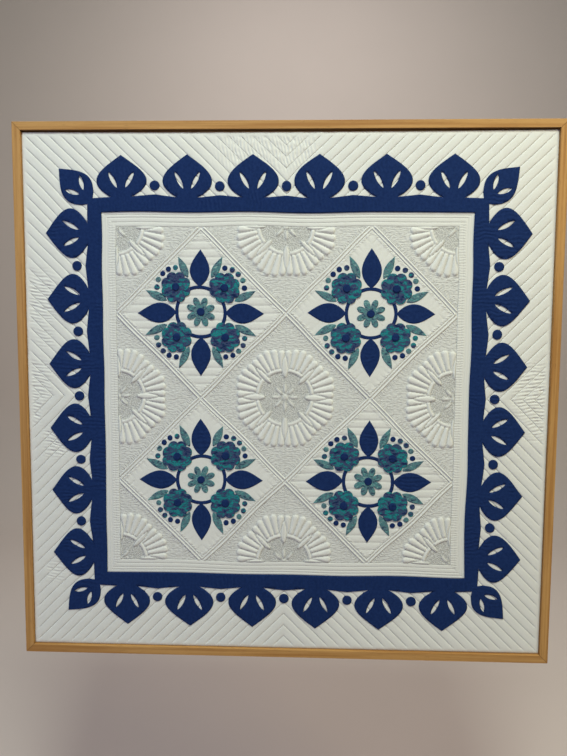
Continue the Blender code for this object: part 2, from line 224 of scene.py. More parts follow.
@dataclass(frozen=True)
class QuiltFace:
    """Sizes of the quilt's face and the relief that its quilting gives it."""

    half: float = 0.6638
    back: float = 0.0148
    back_clear: float = 0.0006
    sag_start: float = 0.56
    sag_ends: float = 0.0020
    sag_middle: float = 0.0045
    square_half: float = 0.465
    field_half: float = 0.430
    block_step: float = 0.215
    channel_pitch: float = 0.030
    channel_foot: float = 0.0200
    channel_rise: float = 0.0024
    channel_puff: float = 0.0085
    channel_waves: Waves = Waves(0.00007, 0.014, 4)
    outer_waves: Waves = Waves(0.00022, 0.050, 3)
    seam_dip: float = 0.0010
    dip_share: float = 0.35
    hem_start: float = 0.014
    hem_end: float = 0.008
    edge_round: float = 0.005
    edge_drop: float = 0.0030
    ripple_pitch: float = 0.0088
    ripple_drift: Waves = Waves(0.0022, 0.045, 7)
    ripple_chance: Waves = Waves(0.45, 0.022, 8)
    ripple_clear: tuple[float, float] = (0.0004, 0.0036)
    ripple_slants: tuple[float, float] = (-0.16, 0.15)
    ripple_start: float = 2.1
    ripple_rise: float = 0.00150
    ripple_sink: float = 0.75
    # Middle x and z, half width, half height and strength of each patch of ripples
    ripple_patches: tuple[tuple[float, float, float, float, float], ...] = (
        (-0.625, 0.250, 0.036, 0.066, 1.0), (-0.615, 0.147, 0.022, 0.024, 0.7),
        (-0.636, 0.037, 0.030, 0.052, 1.0), (-0.648, -0.045, 0.016, 0.030, 0.9),
        (-0.595, -0.120, 0.030, 0.042, 0.9), (-0.605, -0.466, 0.022, 0.030, 0.6),
        (0.626, 0.020, 0.046, 0.068, 1.0), (0.642, -0.070, 0.026, 0.036, 0.7),
        (-0.095, 0.620, 0.075, 0.045, 0.9), (0.025, 0.615, 0.050, 0.045, 0.8),
    )
    field_foot: float = 0.0202
    field_waves: Waves = Waves(0.00018, 0.045, 22)
    stipple_waves: Waves = Waves(1.0, 0.010, 21)
    row_seams: tuple[float, ...] = (0.0, 0.0102, 0.0210, 0.0277, 0.0350)
    row_rise: float = 0.0010
    row_dip: float = 0.0011
    ladder_end: tuple[float, float] = (0.0170, 0.0185)
    row_waves: Waves = Waves(0.00007, 0.009, 11)
    lattice_ridge: float = 0.0040
    lattice_width: float = 0.0021
    lattice_rise: float = 0.0026
    lattice_clear: tuple[float, float] = (0.0062, 0.0085)
    block_row_pitch: float = 0.020
    block_row_rise: float = 0.0018
    block_slant_pitch: float = 0.0150
    block_row_dip: float = 0.0017
    block_slant_fade: tuple[float, float] = (0.014, 0.034)
    stipple_band: tuple[float, float] = (0.010, 0.022)
    wreath: FeatherWreath = FeatherWreath()
    warp_reach: float = 0.0016
    warp_waves: tuple[Waves, Waves] = (Waves(1.0, 0.22, 61), Waves(1.0, 0.22, 62))

    def upper_edge_drop(self, x: np.ndarray) -> np.ndarray:
        """How far the quilt's upper edge has sagged at each x."""
        middle = 1.0 - (x / self.half) ** 2
        return self.sag_ends + (self.sag_middle - self.sag_ends) * middle

    def outer(self, x: np.ndarray, z: np.ndarray) -> Relief:
        """Relief of the slanting channels between the navy border and the frame."""
        across = np.abs(np.abs(x) - np.abs(z)) / self.channel_pitch
        place = across - np.floor(across)
        seam = np.minimum(place, 1.0 - place) * self.channel_pitch / ROOT_TWO
        hem = smooth_step(self.half - self.hem_start, self.half - self.hem_end, self.reach(x, z))
        swell = self.dip_share * (1.0 - np.exp(-seam / self.seam_dip)) \
            + (1.0 - self.dip_share) * puff(seam, self.channel_puff)
        height = self.channel_foot + self.channel_rise * (swell * (1.0 - hem) + 0.85 * hem)
        height += self.ripples(x, z) * smooth_step(*self.ripple_clear, seam) * (1.0 - hem)
        height += self.outer_waves.at(x, z) * smooth_step(0.50, 0.56, self.reach(x, z))
        height += self.channel_waves.at(x, z)
        edge = np.clip((self.reach(x, z) - self.half + self.edge_round) / self.edge_round, 0.0, 1.0)
        height -= self.edge_drop * (1.0 - np.sqrt(1.0 - 0.98 * edge ** 2))
        # Painted shade darkens the colour towards each channel's seam.
        return Relief(height, seam + 0.01 * hem, unshaded=0.7 + 0.3 * smooth_step(0.0, 0.0018, seam))

    @staticmethod
    def reach(x: np.ndarray, z: np.ndarray) -> np.ndarray:
        """Distance from the centre measured as the nearest square loop."""
        return np.maximum(np.abs(x), np.abs(z))

    def ripple_share(self, x: np.ndarray, z: np.ndarray) -> np.ndarray:
        """Strength of the ripples that gather in patches by the frame, below 0 for upright ones."""
        total = np.zeros_like(x)
        for middle_x, middle_z, half_x, half_z, share in self.ripple_patches:
            window = np.exp(-((x - middle_x) / half_x) ** 4 - ((z - middle_z) / half_z) ** 4)
            total += share * window * (-1.0 if middle_z > 0.5 else 1.0)
        return total

    def ripples(self, x: np.ndarray, z: np.ndarray) -> np.ndarray:
        """Height of the ripples, mostly troughs, which start afresh in each channel."""
        drift = self.ripple_drift.at(x, z)
        start = self.ripple_start * np.floor(np.abs(np.abs(x) - np.abs(z)) / self.channel_pitch)
        turn = 2.0 * math.pi / self.ripple_pitch
        level_slant, upright_slant = self.ripple_slants
        level = np.cos((z + level_slant * np.abs(x) + drift) * turn + start) - self.ripple_sink
        upright = np.cos((x + upright_slant * z + drift) * turn + start) - self.ripple_sink
        uneven = np.clip(0.75 + self.ripple_chance.at(x, z), 0.15, 1.25)
        share = self.ripple_share(x, z)
        return self.ripple_rise * uneven * np.where(share > 0.0, level * share, -upright * share)

    def rows(self, x: np.ndarray, z: np.ndarray) -> Relief:
        """Relief of the straight rows inside the navy border."""
        out = self.reach(x, z) - self.field_half
        seam = np.minimum.reduce([np.abs(out - place) for place in self.row_seams])
        upright = (np.abs(x) > np.abs(z)).astype(float)
        rise = self.row_rise * (1.0 - 0.6 * upright)
        height = self.field_foot + self.row_rise - rise * np.exp(-seam / self.row_dip)
        height += self.row_waves.at(x, z)
        ladder = upright * smooth_step(0.0, 0.0010, out) * (1.0 - smooth_step(*self.ladder_end, out))
        # Painted shade darkens the colour towards each row's seam.
        return Relief(height, seam + 0.001 * upright, unshaded=0.5 + 0.5 * smooth_step(0.0, 0.0022, seam),
                      stipple=0.20 * ladder, ladder=ladder)

    def lattice(self, x: np.ndarray, z: np.ndarray) -> np.ndarray:
        """Distance to the nearest line of the lattice between the blocks."""
        nearest = np.full_like(x, 1.0)
        for line in (-3, -1, 1, 3):
            offset = line * self.block_step
            nearest = np.minimum(nearest, np.minimum(np.abs(x + z - offset), np.abs(x - z - offset)))
        return nearest / ROOT_TWO

    def field(self, x: np.ndarray, z: np.ndarray) -> Relief:
        """Relief of the lattice, the feather wreaths and the level and slanting rows of the blocks."""
        to_lattice = self.lattice(x, z)
        ridge = puff(self.lattice_width - np.abs(to_lattice - self.lattice_ridge), self.lattice_width)
        step = 2.0 * self.block_step
        cx, cz = np.round(x / step) * step, np.round(z / step) * step
        rise, edge = self.wreath.relief(x, z, cx, cz)
        dx, dz = np.abs(np.abs(x) - self.block_step), np.abs(np.abs(z) - self.block_step)
        in_block = dx + dz < self.block_step
        level = dz / self.block_row_pitch
        slant = np.abs(dx - dz) / (self.block_slant_pitch * ROOT_TWO)
        level_seam = np.abs(level - np.round(level)) * self.block_row_pitch
        slant_seam = np.abs(slant - np.round(slant)) * self.block_slant_pitch
        slanted = x * z > 0.0
        row_seam = np.where(slanted, slant_seam, level_seam)
        faded = 1.0 - smooth_step(*self.block_slant_fade, to_lattice)
        row_share = np.where(slanted, 0.6 * faded, 1.0)
        row_rise = self.block_row_rise * (1.0 - row_share * np.exp(-row_seam / self.block_row_dip))
        inside = smooth_step(*self.lattice_clear, to_lattice)
        rise = np.where(in_block, row_rise, rise) * inside
        seam = np.where(in_block, row_seam, edge)
        rise = np.maximum(rise, self.lattice_rise * ridge)
        rise *= smooth_step(0.0, 0.0025, self.field_half - self.reach(x, z))
        low = 1.0 - smooth_step(0.0002, 0.0008, rise)
        beside = 1.0 - smooth_step(*self.stipple_band, to_lattice)
        within = np.hypot(x - cx, z - cz) < self.wreath.ring_radius
        dense = np.where(within, 1.0, 0.29 + 0.13 * beside)
        stipple = np.where(in_block, 0.34 * beside, low * dense) * inside
        # Painted shade darkens the colour where the field is not raised.
        unshaded = smooth_step(0.0, 0.0013, rise)
        height = self.field_foot + rise + (0.00008 + 0.00016 * low) * self.stipple_waves.at(x, z)
        height += self.field_waves.at(x, z)
        return Relief(height, np.where(inside > 0.5, seam, 0.003), unshaded=unshaded, stipple=stipple)

    def warp(self, x: np.ndarray, z: np.ndarray) -> tuple[np.ndarray, np.ndarray]:
        """Small shifts in plan that hand work leaves, none at the quilt's edges."""
        room = self.warp_reach * smooth_step(0.0, 0.12, self.half - self.reach(x, z))
        return tuple(room * waves.at(x, z) for waves in self.warp_waves)


# Shader maths

def math_node(operation: str, swapped: bool = False) -> Callable[..., "Value"]:
    """Make a method of Value that adds one Math node.

    Args:
        operation: The node's operation.
        swapped: Whether the other value comes first, as for a number on the left.

    Returns:
        The method, whose other value may be left out for an operation on one value.
    """
    def method(self: "Value", other: object = 0.0) -> "Value":
        first, second = (other, self) if swapped else (self, other)
        return self.shop.add("ShaderNodeMath", {"operation": operation}, {0: first, 1: second})

    return method


class Value:
    """A socket's value in a material, with arithmetic that adds Math nodes."""

    __add__ = math_node("ADD")
    __radd__ = math_node("ADD", swapped=True)
    __sub__ = math_node("SUBTRACT")
    __rsub__ = math_node("SUBTRACT", swapped=True)
    __mul__ = math_node("MULTIPLY")
    __rmul__ = math_node("MULTIPLY", swapped=True)
    __truediv__ = math_node("DIVIDE")
    __abs__ = math_node("ABSOLUTE")
    sine = math_node("SINE")
    fraction = math_node("FRACT")
    above = math_node("GREATER_THAN")

    def __init__(self, shop: "Shop", socket: bpy.types.NodeSocket) -> None:
        """Keep the material's shop and the socket."""
        self.shop = shop
        self.socket = socket

    def between(self, low: float, high: float) -> "Value":
        """Rise smoothly from 0 at low to 1 at high."""
        return self.shop.add(
            "ShaderNodeMapRange", {"interpolation_type": "SMOOTHSTEP"},
            {"Value": self, "From Min": low, "From Max": high, "To Min": 0.0, "To Max": 1.0},
        )


class Shop:
    """Makes the nodes of one material."""

    def __init__(self, name: str) -> None:
        """Start a material with its Principled shader."""
        self.material = bpy.data.materials.new(name)
        self.material.use_nodes = True
        self.tree = self.material.node_tree
        self.shader = self.tree.nodes["Principled BSDF"]

    def add(self, kind: str, settings: dict | None = None, sockets: dict | None = None,
            output: int | str = 0) -> Value:
        """Add a node.

        Args:
            kind: The node's type name.
            settings: Its properties, set first; stops are a ramp's positions and colours.
            sockets: Values or links of its inputs, by name or number.
            output: Which output to return.

        Returns:
            The chosen output.
        """
        node = self.tree.nodes.new(kind)
        for key, value in (settings or {}).items():
            if key == "stops":
                self._set_stops(node.color_ramp, value)
            else:
                setattr(node, key, value)
        for key, value in (sockets or {}).items():
            self.feed(node.inputs[key], value)
        return Value(self, node.outputs[output])

    @staticmethod
    def _set_stops(ramp: bpy.types.ColorRamp, stops: Sequence[tuple[float, Colour]]) -> None:
        """Give a ramp its stops."""
        while len(ramp.elements) < len(stops):
            ramp.elements.new(1.0)
        for element, (place, colour) in zip(ramp.elements, stops):
            element.position = place
            element.color = (*colour, 1.0)

    def feed(self, socket: bpy.types.NodeSocket, value: object) -> None:
        """Link a value to a socket, or set the socket to a plain number or colour."""
        if isinstance(value, Value):
            self.tree.links.new(value.socket, socket)
        elif isinstance(value, tuple) and len(value) == 3 and socket.type == "RGBA":
            socket.default_value = (*value, 1.0)
        else:
            socket.default_value = value

    def place(self) -> Value:
        """Object coordinates as a vector."""
        return self.add("ShaderNodeTexCoord", output="Object")

    def axes(self, vector: Value) -> tuple[Value, Value, Value]:
        """Split a vector into its three numbers."""
        node = self.add("ShaderNodeSeparateXYZ", sockets={0: vector}).socket.node
        return tuple(Value(self, out) for out in node.outputs)

    def joined(self, x: object, y: object, z: object) -> Value:
        """Join three numbers into a vector."""
        return self.add("ShaderNodeCombineXYZ", sockets={0: x, 1: y, 2: z})

    def stretched(self, vector: Value, scale: Colour) -> Value:
        """Scale a vector axis by axis."""
        return self.add("ShaderNodeVectorMath", {"operation": "MULTIPLY"}, {0: vector, 1: scale})

    def noise(self, vector: Value, scale: float, detail: float = 2.0, roughness: float = 0.5) -> Value:
        """Noise from 0 to 1 at a scale in cycles a metre."""
        return self.add("ShaderNodeTexNoise", sockets={
            "Vector": vector, "Scale": scale, "Detail": detail, "Roughness": roughness})

    def mixed(self, share: object, first: object, second: object) -> Value:
        """Mix two colours."""
        return self.add("ShaderNodeMix", {"data_type": "RGBA"}, {0: share, 6: first, 7: second}, 2)

    def ramp(self, value: Value, stops: Sequence[tuple[float, Colour]]) -> Value:
        """Turn a value into a colour along stops."""
        return self.add("ShaderNodeValToRGB", {"stops": stops}, {0: value})

    def attribute(self, name: str) -> Value:
        """Read a number that the mesh carries."""
        return self.add("ShaderNodeAttribute", {"attribute_name": name}, output="Fac")

    def bump(self, height: Value, depth: float, under: Value | None = None) -> Value:
        """Raise the surface by a height from 0 to 1, over another bump."""
        sockets = {"Height": height, "Distance": depth, "Strength": 1.0}
        if under is not None:
            sockets["Normal"] = under
        return self.add("ShaderNodeBump", sockets=sockets)

    def weave(self, x: Value, z: Value, pitch: float) -> Value:
        """Height of a plain weave with threads at a pitch in metres."""
        turn = 2.0 * math.pi / pitch
        return (x * turn).sine() * (z * turn).sine() * 0.5 + 0.5

    def finish(self, colour: Value, roughness: object, normal: Value, sheen: float = 0.0,
               specular: float = 0.5) -> bpy.types.Material:
        """Feed the shader.

        Args:
            colour: Base colour.
            roughness: Roughness, a number or a value.
            normal: The bumped normal.
            sheen: Weight of the fuzz's sheen.
            specular: Specular level.

        Returns:
            The finished material.
        """
        inputs = self.shader.inputs
        self.feed(inputs["Base Color"], colour)
        self.feed(inputs["Roughness"], roughness)
        self.feed(inputs["Normal"], normal)
        inputs["Sheen Weight"].default_value = sheen
        inputs["Sheen Roughness"].default_value = 0.5
        inputs["Specular IOR Level"].default_value = specular
        return self.material


# Finishes

@dataclass(frozen=True)
class WhiteCotton:
    """White plain-weave cotton with machine stitches along its quilted lines and stippling."""

    colour: Colour = (0.86, 0.875, 0.845)
    # painted shade: the colour that seams and low ground are darkened towards
    shade: Colour = (0.78, 0.795, 0.775)
    thread: Colour = (0.36, 0.37, 0.36)
    weave_pitch: float = 0.0006
    stitch_pitch: float = 0.0026
    block_side: float = 0.430
    rung_pitch: float = 0.0066
    grain_scale: float = 350.0
    wiggle_scale: float = 250.0
    stroke_scale: float = 175.0
    stroke_stretch: float = 0.24
    weave_depth: float = 0.00005
    crumple_depth: float = 0.00025
    wrinkle_depth: float = 0.0011
    pebble_depth: float = 0.0007
    rung_depth: float = 0.0005
    stitch_depth: float = 0.00025

    def make(self, name: str) -> bpy.types.Material:
        """Make the material, which reads the numbers that the relief gives the mesh."""
        shop = Shop(name)
        place = shop.place()
        x, _, z = shop.axes(place)
        seam = shop.attribute("seam")
        stipple = shop.attribute("stipple")
        dense = stipple.between(0.55, 0.90)
        ground = stipple.between(0.15, 0.40) * (1.0 - dense)
        dash = ((x + z) * (2.0 * math.pi / self.stitch_pitch)).sine() \
            * ((x - z) * (0.31 * math.pi / self.stitch_pitch)).sine()
        stitch = (1.0 - seam.between(0.0002, 0.0007)) * dash.between(-0.5, 0.1)
        mottle = shop.noise(place, 14.0, 3.0).between(0.3, 0.7)
        grain = shop.noise(place, self.grain_scale, 1.0).between(0.43, 0.59)
        beside = stipple.between(0.31, 0.40)
        wiggles = shop.noise(shop.joined(x * 0.35, 0.0, z), self.wiggle_scale, 2.0)
        strokes = self.strokes(shop, x, z + HANG) * beside + wiggles * (1.0 - beside)
        strokes = strokes.between(0.42, 0.62)
        sway = z + shop.noise(place, 45.0, 2.0) * 0.009
        rungs = ((sway * (2.0 * math.pi / self.rung_pitch)).sine() * 0.5 + 0.5) * shop.attribute("ladder")
        # Painted shade where the relief's share of it is low, with a little random mottle.
        colour = shop.mixed(0.9 * shop.attribute("unshaded") + 0.1 * mottle, self.shade, self.colour)
        colour = shop.mixed(stitch * 0.35, colour, self.thread)
        sewn = dense * grain * 0.50 + ground * strokes * 0.15 + rungs * 0.05
        colour = shop.mixed(sewn, colour, self.thread)
        weave = shop.bump(shop.weave(x, z, self.weave_pitch), self.weave_depth)
        crumple = shop.bump(shop.noise(place, 230.0, 2.0), self.crumple_depth, weave)
        wrinkled = shop.bump((1.0 - strokes) * ground, self.wrinkle_depth, crumple)
        pebbled = shop.bump((1.0 - grain) * dense, self.pebble_depth, wrinkled)
        laddered = shop.bump(rungs, self.rung_depth, pebbled)
        stitched = shop.bump(1.0 - stitch, self.stitch_depth, laddered)
        return shop.finish(colour, 0.92, stitched, sheen=0.05, specular=0.2)

    def strokes(self, shop: "Shop", x: Value, up: Value) -> Value:
        """Short quilted wrinkles that run square to the nearest side of a block set on point.

        Args:
            shop: The material's shop.
            x: Plan x.
            up: Plan z.

        Returns:
            Noise from 0 to 1, drawn out along the strokes.
        """
        right = (x / self.block_side + 0.5).fraction() - 0.5
        above = (up / self.block_side + 0.5).fraction() - 0.5
        beside = right * above
        stretch, scale = self.stroke_stretch, self.stroke_scale
        rising = shop.noise(shop.joined((x + up) * stretch, 0.0, x - up), scale, 2.0)
        falling = shop.noise(shop.joined((x - up) * stretch, 0.0, x + up), scale, 2.0)
        share = beside.between(-0.004, 0.004)
        return rising * share + falling * (1.0 - share)


@dataclass(frozen=True)
class NavyCotton:
    """Navy plain-weave cotton, faintly puckered across the border's band."""

    colour: Colour = (0.0085, 0.0265, 0.112)
    worn: Colour = (0.0130, 0.0365, 0.145)
    weave_pitch: float = 0.0006
    pucker_pitch: float = 0.0105
    pucker_wander: float = 0.024
    pucker_depth: float = 0.0008
    weave_depth: float = 0.00006
    slub_depth: float = 0.00012

    def make(self, name: str) -> bpy.types.Material:
        """Make the material, whose puckers run away from the quilt's centre."""
        shop = Shop(name)
        place = shop.place()
        x, _, z = shop.axes(place)
        up = z + HANG
        wander = shop.noise(place, 26.0, 3.0) * self.pucker_wander
        upright = (abs(up) - abs(x)).above(0.0)
        turn = 2.0 * math.pi / self.pucker_pitch
        across = ((x + wander) * turn).sine() * upright + ((up + wander) * turn).sine() * (1.0 - upright)
        fade = shop.noise(place, 18.0, 1.0).between(0.42, 0.68)
        colour = shop.mixed(shop.noise(place, 160.0, 4.0).between(0.25, 0.75), self.colour, self.worn)
        weave = shop.bump(shop.weave(x, z, self.weave_pitch), self.weave_depth)
        slub = shop.bump(shop.noise(place, 420.0, 2.0), self.slub_depth, weave)
        puckers = shop.bump((across * 0.5 + 0.5) * (0.10 + 0.90 * fade), self.pucker_depth, slub)
        return shop.finish(colour, 0.86, puckers, specular=0.10)


@dataclass(frozen=True)
class Batik:
    """Hand-dyed cotton, mottled between a few near colours."""

    stops: tuple[tuple[float, Colour], ...]
    blotch: float = 58.0
    weave_pitch: float = 0.0006
    weave_depth: float = 0.00006
    crumple_depth: float = 0.0003

    def make(self, name: str) -> bpy.types.Material:
        """Make the material."""
        shop = Shop(name)
        place = shop.place()
        x, _, z = shop.axes(place)
        slanted = shop.add("ShaderNodeMapping", sockets={
            "Vector": place, "Rotation": (0.0, math.radians(38.0), 0.0), "Scale": (1.0, 1.0, 2.3)})
        bend = shop.noise(place, 40.0, 2.0) * 0.035
        drift = shop.add("ShaderNodeVectorMath", {"operation": "ADD"}, {0: slanted, 1: bend})
        dye = shop.noise(drift, self.blotch, 6.0, 0.66)
        colour = shop.ramp(dye.between(0.24, 0.76), self.stops)
        weave = shop.bump(shop.weave(x, z, self.weave_pitch), self.weave_depth)
        crumple = shop.bump(shop.noise(place, 180.0, 2.0), self.crumple_depth, weave)
        return shop.finish(colour, 0.85, crumple, specular=0.12)


class Grain(enum.Enum):
    """Which way a rail's grain runs: the scale of each axis."""

    LEVEL = (2.4, 110.0, 110.0)
    UPRIGHT = (110.0, 110.0, 2.4)


@dataclass(frozen=True)
class Oak:
    """Light oak under a clear satin lacquer, with its grain along the rail.

    Painted shade darkens the upper rail's underside, from the rail's front back to the quilt.
    """

    pale: Colour = (0.60, 0.335, 0.115)
    deep: Colour = (0.43, 0.205, 0.058)
    pore: Colour = (0.20, 0.090, 0.026)
    # painted shade for the upper rail's underside
    underside_shade: Colour = (0.07, 0.032, 0.012)
    fibre_depth: float = 0.00018
    pore_depth: float = 0.00012
    front: float = -0.0285
    inner_half: float = 0.6640

    def make(self, name: str, grain: Grain) -> bpy.types.Material:
        """Make the material.

        Args:
            name: The material's name.
            grain: Which way the grain runs.

        Returns:
            The material.
        """
        shop = Shop(name)
        x, depth, z = shop.axes(shop.place())
        joint = 1.0 - abs(abs(x) - abs(z + HANG)).between(0.0005, 0.0016)
        level = abs(z + HANG - self.inner_half)
        # Painted shade: the upper rail's underside, in front of the quilt, is darkened as it lies in
        # shadow.
        under = depth.between(self.front, -0.0270) * (1.0 - level.between(0.0006, 0.0012))
        place = shop.stretched(shop.place(), grain.value)
        bands = shop.noise(place, 1.0, 3.0, 0.55)
        fibres = shop.noise(shop.stretched(place, (3.0, 3.0, 3.0)), 2.2, 4.0, 0.6)
        pores = shop.noise(shop.stretched(place, (2.0, 2.0, 2.0)), 7.0, 2.0)
        colour = shop.mixed(bands.between(0.36, 0.66), self.pale, self.deep)
        colour = shop.mixed(fibres.between(0.45, 0.80) * 0.45, colour, self.deep)
        pitted = pores.between(0.62, 0.72)
        colour = shop.mixed(pitted * 0.55, colour, self.pore)
        colour = shop.mixed(joint * 0.7, colour, self.pore)
        colour = shop.mixed(under * 0.75, colour, self.underside_shade)
        surface = shop.bump(fibres, self.fibre_depth)
        surface = shop.bump(1.0 - pitted, self.pore_depth, surface)
        return shop.finish(colour, 0.46 + 0.16 * fibres, surface, specular=0.30)


@dataclass(frozen=True)
class Backing:
    """Plain pale paint for the floor and backdrop."""

    colour: Colour = (0.74, 0.64, 0.60)

    def make(self, name: str) -> bpy.types.Material:
        """Make the material."""
        shop = Shop(name)
        place = shop.place()
        shade = tuple(0.97 * c for c in self.colour)
        colour = shop.mixed(shop.noise(place, 3.0, 2.0), self.colour, shade)
        return shop.finish(colour, 0.9, shop.bump(shop.noise(place, 300.0, 2.0), 0.0002), specular=0.2)


TEAL_BATIK = Batik(stops=(
    (0.00, (0.006, 0.016, 0.070)), (0.24, (0.013, 0.038, 0.120)), (0.40, (0.072, 0.082, 0.190)),
    (0.53, (0.030, 0.080, 0.160)), (0.64, (0.014, 0.190, 0.230)), (0.74, (0.012, 0.350, 0.340)),
    (0.84, (0.045, 0.105, 0.210)), (1.00, (0.110, 0.125, 0.260)),
))
PALE_BATIK = Batik(stops=(
    (0.00, (0.012, 0.040, 0.095)), (0.30, (0.045, 0.110, 0.165)), (0.46, (0.190, 0.300, 0.340)),
    (0.58, (0.050, 0.170, 0.210)), (0.72, (0.090, 0.320, 0.330)), (1.00, (0.420, 0.500, 0.520)),
), blotch=95.0)


@dataclass(frozen=True)
class Cloth:
    """A cloth's material and the record's slot for it."""

    material: bpy.types.Material
    slot: str


@dataclass(frozen=True)
class Cloths:
    """The cloths that the pieces share."""

    white: Cloth
    navy: Cloth
    teal: Cloth
    pale: Cloth

    @classmethod
    def woven(cls) -> "Cloths":
        """Make the materials."""
        return cls(
            Cloth(WhiteCotton().make("white_cotton_quilted"), "white_cotton"),
            Cloth(NavyCotton().make("navy_cotton_woven"), "navy_cotton"),
            Cloth(TEAL_BATIK.make("teal_batik_mottled"), "teal_batik"),
            Cloth(PALE_BATIK.make("pale_batik_mottled"), "slate_batik"),
        )


# Meshes in plan

def keep_side(bm: bmesh.types.BMesh, point: Point, outward: Point) -> None:
    """Cut a flat mesh along a line through a point and drop what lies outward of it."""
    bmesh.ops.bisect_plane(
        bm, geom=bm.verts[:] + bm.edges[:] + bm.faces[:], dist=1e-7,
        plane_co=(*point, 0.0), plane_no=(*outward, 0.0), clear_outer=True,
    )


def crossed(bm: bmesh.types.BMesh, pitch: float) -> None:
    """Cut every face of a mesh along upright and level lines at a pitch."""
    for axis in range(2):
        places = [v.co[axis] for v in bm.verts]
        first, last = math.ceil(min(places) / pitch), math.floor(max(places) / pitch)
        for i in range(first, last + 1):
            normal = (1.0, 0.0, 0.0) if axis == 0 else (0.0, 1.0, 0.0)
            point = [0.0, 0.0, 0.0]
            point[axis] = i * pitch
            near = [f for f in bm.faces
                    if min(v.co[axis] for v in f.verts) < point[axis] < max(v.co[axis] for v in f.verts)]
            geom = set(near)
            for face in near:
                geom.update(face.edges)
                geom.update(face.verts)
            bmesh.ops.bisect_plane(bm, geom=list(geom), dist=1e-6, plane_co=point, plane_no=normal)


def skirted(bm: bmesh.types.BMesh, rim: Sequence[bmesh.types.BMEdge], low: float) -> None:
    """Hang faces from boundary edges down to a lift, in the edges' order, so that no run differs."""
    below = {}
    for vert in (v for edge in rim for v in edge.verts):
        if vert not in below:
            below[vert] = bm.verts.new((vert.co.x, vert.co.y, low))
    for edge in rim:
        loop = edge.link_loops[0]
        start, end = loop.link_loop_next.vert, loop.vert
        bm.faces.new((start, end, below[end], below[start]))


def merged(parts: Iterable[bmesh.types.BMesh]) -> bmesh.types.BMesh:
    """Join plan meshes into one and free them."""
    whole = bmesh.new()
    spare = bpy.data.meshes.new("spare")
    for part in parts:
        part.to_mesh(spare)
        part.free()
        whole.from_mesh(spare)
    bpy.data.meshes.remove(spare)
    return whole


def repeated(bm: bmesh.types.BMesh, moves: Sequence[Matrix]) -> None:
    """Replace a mesh by copies of it, moved in turn and joined where they meet.

    Args:
        bm: The mesh, changed in place.
        moves: One matrix a copy; a reflection keeps the faces' side up.
    """
    source = bm.copy()
    bmesh.ops.delete(bm, geom=bm.verts[:], context="VERTS")
    spare = bpy.data.meshes.new("spare")
    for move in moves:
        turned = source.copy()
        bmesh.ops.transform(turned, matrix=move, verts=turned.verts)
        if move.determinant() < 0.0:
            bmesh.ops.reverse_faces(turned, faces=turned.faces)
        turned.to_mesh(spare)
        bm.from_mesh(spare)
        turned.free()
    bpy.data.meshes.remove(spare)
    source.free()
    bmesh.ops.remove_doubles(bm, verts=bm.verts, dist=2e-6)


def eighths() -> list[Matrix]:
    """Moves that carry the eighth x >= 0, z >= x round the whole square."""
    mirror = Matrix.Diagonal((-1.0, 1.0, 1.0, 1.0))
    turns = [Matrix.Rotation(-math.pi / 2.0 * i, 4, "Z") for i in range(4)]
    return [turn @ flip for turn in turns for flip in (Matrix.Identity(4), mirror)]


def filled(loops: Sequence[Sequence[Point]]) -> bmesh.types.BMesh:
    """Fill the area between an outline and its holes, facing up."""
    bm = bmesh.new()
    for loop in loops:
        verts = [bm.verts.new((x, z, 0.0)) for x, z in loop]
        for i, vert in enumerate(verts):
            bm.edges.new((vert, verts[(i + 1) % len(verts)]))
    bmesh.ops.triangle_fill(bm, use_beauty=True, edges=bm.edges, normal=(0.0, 0.0, 1.0))
    for face in bm.faces:
        if face.normal.z < 0.0:
            face.normal_flip()
    return bm


@dataclass(frozen=True)
class Turned:
    """A turned and padded edge: steps inward with the lift gained at each, from a sunk foot."""

    foot: float = -0.0022
    steps: tuple[tuple[float, float], ...] = (
        (0.0003, 0.0022), (0.0005, 0.0006), (0.0008, 0.0004), (0.0014, 0.0002), (0.0022, 0.0001))

    def apply(self, bm: bmesh.types.BMesh, share: float = 1.0) -> None:
        """Turn the edges of a flat cloth piece.

        Args:
            bm: The piece, changed in place.
            share: Scales the inward steps, for small pieces.
        """
        bmesh.ops.translate(bm, verts=bm.verts, vec=(0.0, 0.0, self.foot))
        for inward, lift in self.steps:
            bmesh.ops.inset_region(
                bm, faces=bm.faces[:], use_boundary=True, use_even_offset=True,
                thickness=inward * share, depth=0.0,
            )
            inner = {v for f in bm.faces for v in f.verts} - {v for v in bm.verts if v.is_boundary}
            bmesh.ops.translate(bm, verts=self._inside(bm, inner), vec=(0.0, 0.0, lift))

    @staticmethod
    def _inside(bm: bmesh.types.BMesh, inner: set[bmesh.types.BMVert]) -> list[bmesh.types.BMVert]:
        """Vertices at the present top level that the last inset moved off the rim."""
        top = max(v.co.z for v in bm.verts)
        return [v for v in inner if v.co.z > top - 1e-7]


